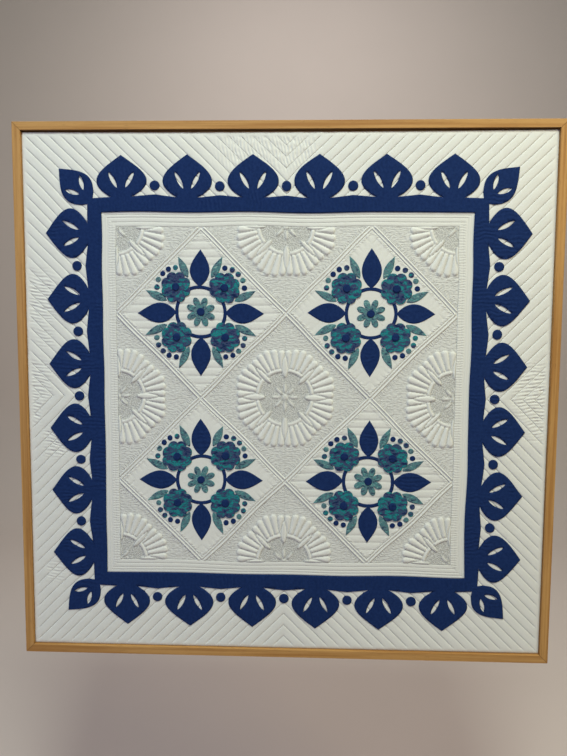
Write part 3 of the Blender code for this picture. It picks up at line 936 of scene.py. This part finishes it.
def hung(bm: bmesh.types.BMesh, name: str, shape: Shape, cloth: Cloth, face: QuiltFace,
         nodes: Sequence[str] = ("quilt",)) -> bpy.types.Object:
    """Turn a plan mesh into a hung object.

    Args:
        bm: The plan mesh, freed here; its third coordinate is the lift above the shape's height.
        name: The object's name.
        shape: Gives each plan point its height off the wall, or a whole relief, whose other numbers the
            mesh then carries.
        cloth: What it is made of.
        face: The quilt's face, for the sag of its upper edge.
        nodes: The CAD nodes that it replaces.

    Returns:
        The object, at the origin.
    """
    mesh = bpy.data.meshes.new(name)
    bm.to_mesh(mesh)
    bm.free()
    places = np.empty(len(mesh.vertices) * 3)
    mesh.vertices.foreach_get("co", places)
    places = places.reshape(-1, 3)
    x, z, lift = places[:, 0].copy(), places[:, 1].copy(), places[:, 2].copy()
    found = shape(x, z)
    height = found
    if isinstance(found, Relief):
        height = found.height
        for key in ("seam", "unshaded", "stipple", "ladder"):
            numbers = mesh.attributes.new(key, "FLOAT", "POINT")
            values = np.broadcast_to(getattr(found, key), x.shape)
            numbers.data.foreach_set("value", values.astype(np.float32))
    height = np.maximum(height + lift, face.back + face.back_clear)
    sag = face.upper_edge_drop(x) * smooth_step(face.sag_start, face.half, z)
    drift_x, drift_z = face.warp(x, z)
    hung_places = np.column_stack((x + drift_x, -height, z + drift_z - sag - HANG))
    mesh.vertices.foreach_set("co", hung_places.ravel())
    mesh.materials.append(cloth.material)
    mesh.shade_smooth()
    obj = bpy.data.objects.new(name, mesh)
    bpy.context.scene.collection.objects.link(obj)
    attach(obj, "root")
    if nodes:
        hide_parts(*nodes)
    LOG.info("%s: %d faces", name, len(mesh.polygons))
    return obj


# White ground

@dataclass
class OuterGround:
    """The channel-quilted ground between the navy border and the frame, one panel a side."""

    face: QuiltFace
    inner_half: float = 0.470
    along_step: float = 0.0060
    least_ripple: float = 0.04
    rows: tuple[float, ...] = (
        0.0, 0.03, 0.07, 0.13, 0.22, 0.33, 0.44, 0.56, 0.67, 0.78, 0.87, 0.93, 0.97)

    def wedge(self) -> bmesh.types.BMesh:
        """Make the right half of the upper side, with its grid along the channels."""
        outer = self.face.half
        pitch = self.face.channel_pitch / ROOT_TWO
        low, high = self.inner_half / ROOT_TWO, outer * ROOT_TWO
        channels = math.ceil(outer / ROOT_TWO / pitch)
        across, along = channels * len(self.rows), round((high - low) / self.along_step)
        bm = bmesh.new()
        bmesh.ops.create_grid(bm, x_segments=along, y_segments=across, size=1.0)
        for vert in bm.verts:
            row = round((vert.co.y + 1.0) / 2.0 * across)
            channel, step = divmod(row, len(self.rows))
            b = (channel + self.rows[step]) * pitch
            a = low + (high - low) * (vert.co.x + 1.0) / 2.0
            vert.co = ((a - b) / ROOT_TWO, (a + b) / ROOT_TWO, 0.0)
        keep_side(bm, (0.0, 0.0), (-1.0, 0.0))
        keep_side(bm, (0.0, self.inner_half), (0.0, -1.0))
        keep_side(bm, (0.0, outer), (0.0, 1.0))
        return bm

    def refine(self, bm: bmesh.types.BMesh) -> None:
        """Cut the grid finer along the channels where the cloth ripples."""
        bm.verts.index_update()
        places = np.array([v.co[:2] for v in bm.verts])
        rippled = np.abs(self.face.ripple_share(places[:, 0], places[:, 1])) > self.least_ripple

        def runs_along(edge: bmesh.types.BMEdge) -> bool:
            start, end = (v.co for v in edge.verts)
            step = end - start
            return abs(abs(step.x) - abs(step.y)) < 1e-5 and step.x * step.y * start.x * start.y > 0.0

        edges = [e for e in bm.edges if any(rippled[v.index] for v in e.verts) and runs_along(e)]
        bmesh.ops.subdivide_edges(bm, edges=edges, cuts=2, use_grid_fill=True)

    def build(self, cloth: Cloth) -> dict[str, bpy.types.Object]:
        """Build the four panels."""
        outer = self.face.half
        wedge = self.wedge()
        panels = {}
        for turn, side in enumerate(SIDES):
            bm = wedge.copy()
            spin = Matrix.Rotation(-math.pi / 2.0 * turn, 4, "Z")
            repeated(bm, [spin, spin @ Matrix.Diagonal((-1.0, 1.0, 1.0, 1.0))])
            self.refine(bm)
            rim = [e for e in bm.edges if e.is_boundary
                   and all(max(abs(v.co.x), abs(v.co.y)) > outer - 1e-5 for v in e.verts)]
            skirted(bm, rim, -1.0)
            panels[side] = hung(bm, "ground_" + side, self.face.outer, cloth, self.face)
        wedge.free()
        return panels

    def declare(self, panels: dict[str, bpy.types.Object], border: bpy.types.Object,
                dots: dict[str, bpy.types.Object]) -> None:
        """Take the panels, the border and its dots, and do nothing with them."""


@dataclass
class BorderRows:
    """The straight quilted rows inside the navy border, with mitred corners."""

    face: QuiltFace
    outer_half: float = 0.470
    along_step: float = 0.006
    rows: tuple[float, ...] = (0.0, 0.05, 0.12, 0.27, 0.5, 0.73, 0.88, 0.95)

    def build(self, cloth: Cloth) -> None:
        """Build the four strips."""
        face = self.face
        lines = [face.field_half + low + step * (high - low)
                 for low, high in zip(face.row_seams, face.row_seams[1:]) for step in self.rows]
        lines += [face.square_half, self.outer_half]
        along = round(self.outer_half / self.along_step)
        bm = bmesh.new()
        bmesh.ops.create_grid(bm, x_segments=along, y_segments=len(lines) - 1, size=1.0)
        for vert in bm.verts:
            row = round((vert.co.y + 1.0) / 2.0 * (len(lines) - 1))
            vert.co = (self.outer_half * (vert.co.x + 1.0) / 2.0, lines[row], 0.0)
        keep_side(bm, (0.0, 0.0), (1.0, -1.0))
        for turn, side in enumerate(SIDES):
            strip = bm.copy()
            repeated(strip, eighths()[2 * turn:2 * turn + 2])
            rows = hung(strip, "rows_" + side, face.rows, cloth, face)
        bm.free()


@dataclass
class DiamondBlock:
    """A block of the field, set on point and clipped to the field: its ground cloth."""

    face: QuiltFace
    cell: float
    edge_rows: tuple[float, ...] = (0.0, 0.0010, 0.0019, 0.0028, 0.0040, 0.0052, 0.0061, 0.0072)
    least_cell: float = 0.4

    def lines(self) -> list[float]:
        """Places of the grid's lines from corner to corner along one side, about its middle."""
        half = self.face.block_step / ROOT_TWO
        inner = int((half - self.edge_rows[-1] - self.least_cell * self.cell) / self.cell)
        middle = [i * self.cell for i in range(-inner, inner + 1)]
        return [-half + d for d in self.edge_rows] + middle + [half - d for d in reversed(self.edge_rows)]

    def ground(self, centre: Point) -> bmesh.types.BMesh:
        """Make the block's plan mesh about its centre, clipped to the field."""
        lines = self.lines()
        count = len(lines) - 1
        bm = bmesh.new()
        bmesh.ops.create_grid(bm, x_segments=count, y_segments=count, size=1.0)
        for vert in bm.verts:
            a = lines[round((vert.co.x + 1.0) / 2.0 * count)]
            b = lines[round((vert.co.y + 1.0) / 2.0 * count)]
            vert.co = (centre[0] + (a - b) / ROOT_TWO, centre[1] + (a + b) / ROOT_TWO, 0.0)
        bmesh.ops.triangulate(bm, faces=bm.faces, quad_method="FIXED")
        edge = self.face.field_half
        for outward in ((1.0, 0.0), (-1.0, 0.0), (0.0, 1.0), (0.0, -1.0)):
            keep_side(bm, (outward[0] * edge, outward[1] * edge), outward)
        return bm

    def build(self, name: str, centre: Point, cloth: Cloth) -> bpy.types.Object:
        """Build the quilted ground of the block with this centre in plan."""
        return hung(self.ground(centre), name, self.face.field, cloth, self.face)

    def declare(self, ground: bpy.types.Object, centre: Point, pieces: Sequence[bpy.types.Object] = ()
                ) -> None:
        """Take the block's ground, centre and pieces, and do nothing with them."""


@dataclass
class QuiltBack:
    """The quilt's plain back, which shows inside the frame's ledge from behind."""

    face: QuiltFace
    step: float = 0.012
    edge_gap: float = 0.0005
    clear: float = 0.0007
    waves: Waves = Waves(0.0003, 0.060, 31)

    def build(self, cloth: Cloth) -> None:
        """Build the back sheet."""
        face = self.face
        count = round(2.0 * face.half / self.step)
        bm = bmesh.new()
        bmesh.ops.create_grid(bm, x_segments=count, y_segments=count, size=face.half - self.edge_gap)
        bmesh.ops.reverse_faces(bm, faces=bm.faces)

        def relief(x: np.ndarray, z: np.ndarray) -> Relief:
            height = face.back + self.clear + self.waves.at(x, z)
            # The back sheet's colour gets an even painted shade.
            return Relief(height, np.full_like(x, 0.01), unshaded=0.6)

        back = hung(bm, "quilt_back", relief, cloth, face)


# Cloth pieces sewn on

def leaf_outline(root: float, tip: float, neck: float, bulge: float, steps: int) -> list[Point]:
    """Outline a leaf that points along +z.

    Args:
        root: Plan z of its root.
        tip: Plan z of its tip.
        neck: Half its width at the root.
        bulge: About half its greatest width.
        steps: Points a side.

    Returns:
        Points from the left root over the tip to the right root.
    """
    left = []
    for i in range(steps):
        share = 1.0 - (1.0 - i / steps) ** 1.15
        half = neck * (1.0 - share) ** 2 + bulge * math.sin(math.pi * share ** 0.85)
        left.append((-half, root + (tip - root) * share))
    return left + [(0.0, tip)] + [(-x, z) for x, z in reversed(left)]


def scalloped(radius: float, valley: float, petals: int, steps: int) -> list[Point]:
    """A round outline with petals, whose valleys are at a share of the radius."""
    outline = []
    for i in range(petals * steps):
        turn = i / (petals * steps)
        lift = abs(math.sin(math.pi * petals * turn)) ** 0.7
        reach = radius * (valley + (1.0 - valley) * lift)
        outline.append(rotated((reach, 0.0), 2.0 * math.pi * turn))
    return outline


@dataclass
class NavyBorder:
    """The navy border of leaves, cut in one, with its vein slits and the dots in its valleys."""

    face: QuiltFace
    band_width: float = 0.036
    band_bump: float = 0.006
    lobes: int = 6
    lobe_pitch: float = 0.165
    leaf_reach: float = 0.142
    leaf_neck: float = 0.026
    leaf_bulge: float = 0.054
    leaf_steps: int = 26
    corner_root: float = 0.492
    corner_length: float = 0.112
    corner_neck: float = 0.010
    corner_bulge: float = 0.036
    corner_steps: int = 22
    slit_length: float = 0.046
    slit_width: float = 0.010
    slit_tilt: float = math.radians(28.0)
    slit_side: float = 0.021
    slit_out: float = 0.078
    slit_steps: int = 12
    # Shares of slit_side, corner_length and slit_length
    corner_slit: tuple[float, float, float] = (0.75, 0.42, 0.8)
    dot_radius: float = 0.0125
    dot_out: float = 0.0640
    level: float = 0.0226
    waves: tuple[Waves, Waves] = (Waves(0.00016, 0.035, 41), Waves(0.00006, 0.013, 42))
    mesh_pitch: float = 0.009

    def eighth_outline(self) -> list[Point]:
        """Outline the eighth from the upper side's middle to the right corner's diagonal."""
        inner = self.face.square_half
        band = inner + self.band_width
        outline = [(0.0, band + self.band_bump)]
        for i in range(self.lobes // 2):
            centre = (i + 0.5) * self.lobe_pitch
            leaf = leaf_outline(band, inner + self.leaf_reach, self.leaf_neck, self.leaf_bulge,
                                self.leaf_steps)
            outline.extend(shifted(leaf, (centre, 0.0)))
            if i + 1 < self.lobes // 2:
                outline.append((centre + self.lobe_pitch / 2.0, band + self.band_bump))
        corner = leaf_outline(0.0, self.corner_length, self.corner_neck, self.corner_bulge,
                              self.corner_steps)
        half = corner[:len(corner) // 2 + 1]
        outline.extend(shifted((rotated(p, -math.pi / 4.0) for p in half),
                               (self.corner_root, self.corner_root)))
        return outline + [(inner, inner), (0.0, inner)]

    def slit(self, centre: Point, tilt: float, length: float) -> list[Point]:
        """Outline a slender slit that tapers to both ends."""
        shape = []
        for hand in (1.0, -1.0):
            for i in range(self.slit_steps):
                share = i / self.slit_steps
                reach = hand * (length / 2.0) * (2.0 * share - 1.0)
                shape.append((hand * self.slit_width / 2.0 * math.sin(math.pi * share) ** 0.75, reach))
        return shifted((rotated(p, tilt) for p in shape), centre)

    def slits(self) -> list[list[Point]]:
        """The slits of one eighth."""
        found = []
        for i in range(self.lobes // 2):
            centre = (i + 0.5) * self.lobe_pitch
            for hand in (-1.0, 1.0):
                place = (centre + hand * self.slit_side, self.face.square_half + self.slit_out)
                found.append(self.slit(place, -hand * self.slit_tilt, self.slit_length))
        side, out, size = self.corner_slit
        x, z = rotated((-self.slit_side * side, self.corner_length * out), -math.pi / 4.0)
        place = (self.corner_root + x, self.corner_root + z)
        found.append(self.slit(place, self.slit_tilt - math.pi / 4.0, self.slit_length * size))
        return found

    def build(self, cloth: Cloth) -> bpy.types.Object:
        """Build the border: fill an eighth, go round, turn the edges, then refine each eighth."""
        bm = filled([self.eighth_outline(), *self.slits()])
        repeated(bm, eighths())
        Turned().apply(bm)
        keep_side(bm, (0.0, 0.0), (-1.0, 0.0))
        keep_side(bm, (0.0, 0.0), (1.0, -1.0))
        crossed(bm, self.mesh_pitch)
        repeated(bm, eighths())

        def level(x: np.ndarray, z: np.ndarray) -> np.ndarray:
            broad, fine = self.waves
            return self.level + broad.at(x, z) + fine.at(x, z)

        return hung(bm, "border_cloth", level, cloth, self.face, ["navy_border"])

    def dots(self, cloth: Cloth) -> dict[str, bpy.types.Object]:
        """Build the dots, one piece a side."""
        made = {}
        for turn, side in enumerate(SIDES):
            row = [((i - (self.lobes - 2) / 2.0) * self.lobe_pitch, self.face.square_half + self.dot_out)
                   for i in range(self.lobes - 1)]
            spots = [rotated(place, -math.pi / 2.0 * turn) for place in row]
            made[side] = hung(
                merged(padded_disc(self.dot_radius, spot) for spot in spots), "dots_" + side,
                lambda x, z: np.full_like(x, self.level), cloth, self.face,
                ["dot_{}_{}".format(side, i + 1) for i in range(len(spots))])
        return made


def padded_disc(radius: float, centre: Point, segments: int = 40, full_edge: float = 0.009,
                crown_step: float = 0.24, crown_lift: float = 0.012) -> bmesh.types.BMesh:
    """A small round cloth piece with its edge turned under and a soft crown.

    Args:
        radius: Its radius.
        centre: Its place in plan.
        segments: Points round its edge.
        full_edge: From this radius on, the turned edge has its full width.
        crown_step: Width of each of the crown's three steps, as a share of the flat middle.
        crown_lift: Height of each step, as a share of the radius.

    Returns:
        The piece, flat in plan.
    """
    bm = bmesh.new()
    bmesh.ops.create_circle(bm, cap_ends=True, segments=segments, radius=radius)
    for face in bm.faces:
        if face.normal.z < 0.0:
            face.normal_flip()
    Turned().apply(bm, share=min(1.0, radius / full_edge))
    centre_faces = [f for f in bm.faces if len(f.verts) == segments]
    room = min(v.co.xy.length for f in centre_faces for v in f.verts)
    for _ in range(3):
        top = [f for f in bm.faces if len(f.verts) == segments]
        bmesh.ops.inset_region(bm, faces=top, use_boundary=True, use_even_offset=True,
                               thickness=room * crown_step, depth=radius * crown_lift)
    bmesh.ops.poke(bm, faces=[f for f in bm.faces if len(f.verts) == segments])
    bmesh.ops.translate(bm, verts=bm.verts, vec=(*centre, 0.0))
    return bm


@dataclass
class BlockCloth:
    """One block's cloth pieces: ring with four leaves, roses, rosette, small leaves and berries."""

    face: QuiltFace
    tag: str
    centre: Point
    ring_radius: float = 0.062
    stem: float = 0.009
    spur_tip: float = 0.160
    spur_neck: float = 0.004
    spur_bulge: float = 0.024
    petals: int = 8
    rose_radius: float = 0.040
    rose_reach: float = 0.088
    rose_valley: float = 0.84
    rosette_radius: float = 0.038
    rosette_valley: float = 0.46
    centre_radius: float = 0.0100
    leaf_size: tuple[float, float, float] = (0.092, 0.152, 0.0095)
    leaf_turn: float = math.radians(19.0)
    leaf_lean: float = math.radians(7.0)
    berry_radius: float = 0.0070
    berry_ring: tuple[tuple[float, float], ...] = (
        (0.0500, -44.0), (0.0500, -22.0), (0.0488, 0.0), (0.0500, 22.0), (0.0500, 44.0))
    level: float = 0.0214
    rose_lift: float = 0.0017
    rosette_lift: float = 0.0003
    centre_lifts: tuple[float, float] = (0.0018, 0.0034)
    waves: Waves = Waves(0.00012, 0.022, 51)
    mesh_pitch: float = 0.005

    def ring_outline(self) -> list[Point]:
        """Outer outline of the ring with its four leaves."""
        outer = self.ring_radius + self.stem / 2.0
        leaf = leaf_outline(outer * 0.99, self.spur_tip, self.spur_neck, self.spur_bulge, 24)
        half_turn = math.asin(self.spur_neck / outer)
        outline = []
        for turn in range(4):
            outline.extend(rotated(p, -math.pi / 2.0 * turn) for p in leaf)
            for i in range(1, 20):
                angle = half_turn + (math.pi / 2.0 - 2.0 * half_turn) * i / 20
                point = (outer * math.sin(angle), outer * math.cos(angle))
                outline.append(rotated(point, -math.pi / 2.0 * turn))
        return outline

    def sewn(self, name: str, loops: Sequence[Sequence[Point]], lift: float, cloth: Cloth,
             nodes: Sequence[str], share: float) -> bpy.types.Object:
        """Sew pieces on the block.

        Args:
            name: The object's name, without the block's tag.
            loops: Outlines about the block's centre. A second loop inside the first is its hole.
            lift: How far the pieces lie above the block's ground.
            cloth: Their cloth.
            nodes: The CAD nodes that they replace.
            share: Scales the turned edges.

        Returns:
            The object.
        """
        bm = filled(loops)
        Turned().apply(bm, share)
        crossed(bm, self.mesh_pitch)
        bmesh.ops.translate(bm, verts=bm.verts, vec=(*self.centre, lift))
        return self.hang(bm, name, cloth, nodes)

    def hang(self, bm: bmesh.types.BMesh, name: str, cloth: Cloth, nodes: Sequence[str] = ()
             ) -> bpy.types.Object:
        """Hang a finished plan mesh on the block."""
        def level(x: np.ndarray, z: np.ndarray) -> np.ndarray:
            return self.level + self.waves.at(x, z)

        return hung(bm, "{}_{}".format(name, self.tag), level, cloth, self.face, nodes)

    def build(self, cloths: Cloths) -> list[bpy.types.Object]:
        """Build the block's pieces."""
        inner = self.ring_radius - self.stem / 2.0
        hole = [rotated((inner, 0.0), 2.0 * math.pi * i / 72) for i in range(72)]
        made = [self.sewn("ring_cloth", [self.ring_outline(), hole], 0.0, cloths.navy,
                          ["wreath_" + self.tag], 0.8)]
        roses, small = [], []
        low, high = self.centre_lifts
        navy, teal, pale = [(padded_disc(self.centre_radius, (0.0, 0.0), 32), low)], [], []
        for i in range(4):
            quarter = math.pi / 2.0 * i
            diagonal = quarter + math.pi / 4.0
            middle = rotated((self.rose_reach, 0.0), diagonal)
            rose = scalloped(self.rose_radius, self.rose_valley, self.petals, 12)
            roses.append(shifted(rose, middle))
            navy.append((padded_disc(self.centre_radius, middle, 28), high))
            for j, (reach, turn) in enumerate(self.berry_ring):
                around = rotated((reach, 0.0), diagonal + math.radians(turn))
                disc = padded_disc(self.berry_radius, (middle[0] + around[0], middle[1] + around[1]), 22)
                (navy, teal, pale)[(i + j * 2) % 5 % 3].append((disc, 0.0))
            for hand in (-1.0, 1.0):
                root, tip, bulge = self.leaf_size
                leaf = leaf_outline(0.0, tip - root, 0.0012, bulge, 12)
                leaf = shifted((rotated(p, -hand * self.leaf_lean) for p in leaf), (0.0, root))
                small.append([rotated(p, -hand * self.leaf_turn + quarter) for p in leaf])
        made.append(self.sewn("roses_cloth", roses, self.rose_lift, cloths.teal,
                              ["rose_{}_{}".format(self.tag, i + 1) for i in range(4)], 0.9))
        rosette = scalloped(self.rosette_radius, self.rosette_valley, self.petals, 14)
        made.append(self.sewn("rosette_cloth", [rosette], self.rosette_lift, cloths.pale,
                              ["rosette_" + self.tag], 0.7))
        made.append(self.sewn("small_leaves", small, 0.0, cloths.pale, [], 0.6))
        for kind, cloth, discs in (("navy", cloths.navy, navy), ("teal", cloths.teal, teal),
                                   ("pale", cloths.pale, pale)):
            for disc, lift in discs:
                bmesh.ops.translate(disc, verts=disc.verts, vec=(*self.centre, lift))
            berries = merged(disc for disc, _ in discs)
            made.append(self.hang(berries, "berries_" + kind, cloth))
        return made


# Frame, studio and camera

@dataclass
class TrayFrame:
    """The four oak rails, which keep their CAD shape."""

    finish: Oak = field(default_factory=Oak)

    def dress(self, nodes: dict[str, bpy.types.Object]) -> None:
        """Give each rail its oak, with the grain along it."""
        level = self.finish.make("oak_level_grain", Grain.LEVEL)
        upright = self.finish.make("oak_upright_grain", Grain.UPRIGHT)
        for side in SIDES:
            rail = nodes["rail_" + side]
            material = level if side in ("top", "bottom") else upright
            for slot in rail.material_slots:
                slot.material = material
            LOG.info("rail_%s: %s", side, material.name)


@dataclass(frozen=True)
class Lamp:
    """A soft square light: where it stands and points, its side in metres and power in watts."""

    name: str
    place: tuple[float, float, float]
    target: tuple[float, float, float]
    size: float
    power: float
    colour: Colour

    def hang(self) -> bpy.types.Object:
        """Add the light, which the camera doesn't see."""
        data = bpy.data.lights.new(self.name, "AREA")
        data.shape = "SQUARE"
        data.size = self.size
        data.energy = self.power
        data.color = self.colour
        light = bpy.data.objects.new(self.name, data)
        light.location = self.place
        aim = Vector(self.target) - Vector(self.place)
        light.rotation_euler = aim.to_track_quat("-Z", "Y").to_euler()
        light.visible_camera = False
        bpy.context.scene.collection.objects.link(light)
        return light


@dataclass
class Studio:
    """Plain pale floor that curves up far behind the quilt, soft lights and the camera."""

    floor: float = -2.20
    back: float = 4.20
    front: float = -6.0
    top: float = 3.5
    half_width: float = 7.0
    sweep: float = 1.10
    eye: tuple[float, float, float] = (0.0403, -1.4619, -0.51045)
    yaw: float = math.radians(1.764)
    pitch: float = math.radians(-4.273)
    roll: float = math.radians(-0.35)
    focal: float = 27.05
    air: Colour = (0.92, 1.0, 0.96)
    air_strength: float = 0.12
    lamps: tuple[Lamp, ...] = (
        Lamp("key", (0.15, -2.0, 2.6), (0.1, 0.0, -0.5), 0.9, 92.0, (0.905, 1.0, 0.875)),
        Lamp("warm_side", (2.0, -1.4, 0.9), (0.2, 0.0, -0.5), 1.0, 21.0, (1.0, 0.80, 0.45)),
        Lamp("fill", (-1.8, -2.6, 0.0), (0.0, 0.0, -0.7), 2.0, 17.0, (0.58, 0.60, 1.0)),
        Lamp("back_fill", (0.5, 2.6, 1.6), (0.0, 0.0, -0.7), 2.0, 16.0, (1.0, 0.98, 0.95)),
        Lamp("wall_wash", (0.0, 1.6, 2.6), (0.0, 4.2, -0.6), 2.0, 40.0, (1.0, 0.97, 0.94)),
    )

    def build_stage(self) -> bpy.types.Object:
        """Build the floor and backdrop as one smooth sweep."""
        bm = bmesh.new()
        left, steps = -self.half_width, 24
        profile = [bm.verts.new((left, self.front, self.floor))]
        for i in range(steps + 1):
            angle = math.pi / 2.0 * i / steps
            profile.append(bm.verts.new((left, self.back - self.sweep + self.sweep * math.sin(angle),
                                         self.floor + self.sweep - self.sweep * math.cos(angle))))
        profile.append(bm.verts.new((left, self.back, self.top)))
        edges = [bm.edges.new(pair) for pair in zip(profile, profile[1:])]
        grown = bmesh.ops.extrude_edge_only(bm, edges=edges)["geom"]
        bmesh.ops.translate(bm, verts=[v for v in grown if isinstance(v, bmesh.types.BMVert)],
                            vec=(2.0 * self.half_width, 0.0, 0.0))
        bmesh.ops.recalc_face_normals(bm, faces=bm.faces)
        mesh = bpy.data.meshes.new("floor_and_backdrop")
        bm.to_mesh(mesh)
        bm.free()
        mesh.shade_smooth()
        mesh.materials.append(Backing().make("pale_paint"))
        stage = bpy.data.objects.new("floor_and_backdrop", mesh)
        bpy.context.scene.collection.objects.link(stage)
        return stage

    def light(self) -> None:
        """Set the soft studio light and the view's plain tone."""
        world = bpy.data.worlds.new("studio_air")
        world.use_nodes = True
        background = world.node_tree.nodes["Background"]
        background.inputs["Color"].default_value = (*self.air, 1.0)
        background.inputs["Strength"].default_value = self.air_strength
        bpy.context.scene.world = world
        bpy.context.scene.view_settings.view_transform = "Standard"
        for lamp in self.lamps:
            lamp.hang()

    def camera(self) -> bpy.types.Object:
        """Set the camera where the quilt is seen from."""
        data = bpy.data.cameras.new("camera")
        data.lens = self.focal
        data.sensor_width = 36.0
        data.sensor_fit = "AUTO"
        data.clip_start = 0.05
        camera = bpy.data.objects.new("camera", data)
        turn = Matrix.Rotation(self.yaw, 4, "Z") @ Matrix.Rotation(self.pitch, 4, "X") \
            @ Matrix.Rotation(self.roll, 4, "Y")
        stand = Euler((math.pi / 2.0, 0.0, 0.0)).to_matrix().to_4x4()
        camera.matrix_world = Matrix.Translation(self.eye) @ turn @ stand
        bpy.context.scene.collection.objects.link(camera)
        bpy.context.scene.camera = camera
        return camera


def main() -> None:
    """Build and dress every piece, then set the studio."""
    logging.basicConfig(level=logging.INFO, format="%(name)s: %(message)s")
    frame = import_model()
    face = QuiltFace()
    cloths = Cloths.woven()

    TrayFrame().dress(frame["nodes"])
    QuiltBack(face).build(cloths.white)
    ground = OuterGround(face)
    panels = ground.build(cloths.white)
    BorderRows(face).build(cloths.white)
    border = NavyBorder(face)
    ground.declare(panels, border.build(cloths.navy), border.dots(cloths.navy))

    step = face.block_step
    flower_block = DiamondBlock(face, cell=face.block_row_pitch * ROOT_TWO / 12.0)
    for tag, centre in {"nw": (-step, step), "ne": (step, step), "sw": (-step, -step),
                        "se": (step, -step)}.items():
        block = flower_block.build("flower_block_" + tag, centre, cloths.white)
        flower_block.declare(block, centre, BlockCloth(face, tag, centre).build(cloths))
    wreath_block = DiamondBlock(face, cell=0.0020)
    names = {-1: "low", 0: "mid", 1: "high"}
    for i in names:
        for j in names:
            centre = (2.0 * step * i, 2.0 * step * j)
            name = "wreath_block_{}_{}".format(names[j], names[i])
            wreath_block.declare(wreath_block.build(name, centre, cloths.white), centre)

    studio = Studio()
    studio.build_stage()
    studio.light()
    studio.camera()

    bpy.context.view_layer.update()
    triangles = sum(len(face.vertices) - 2 for obj in bpy.data.objects if obj.type == "MESH"
                    for face in obj.data.polygons)
    LOG.info("%d triangles", triangles)


if __name__ == "__main__":
    main()
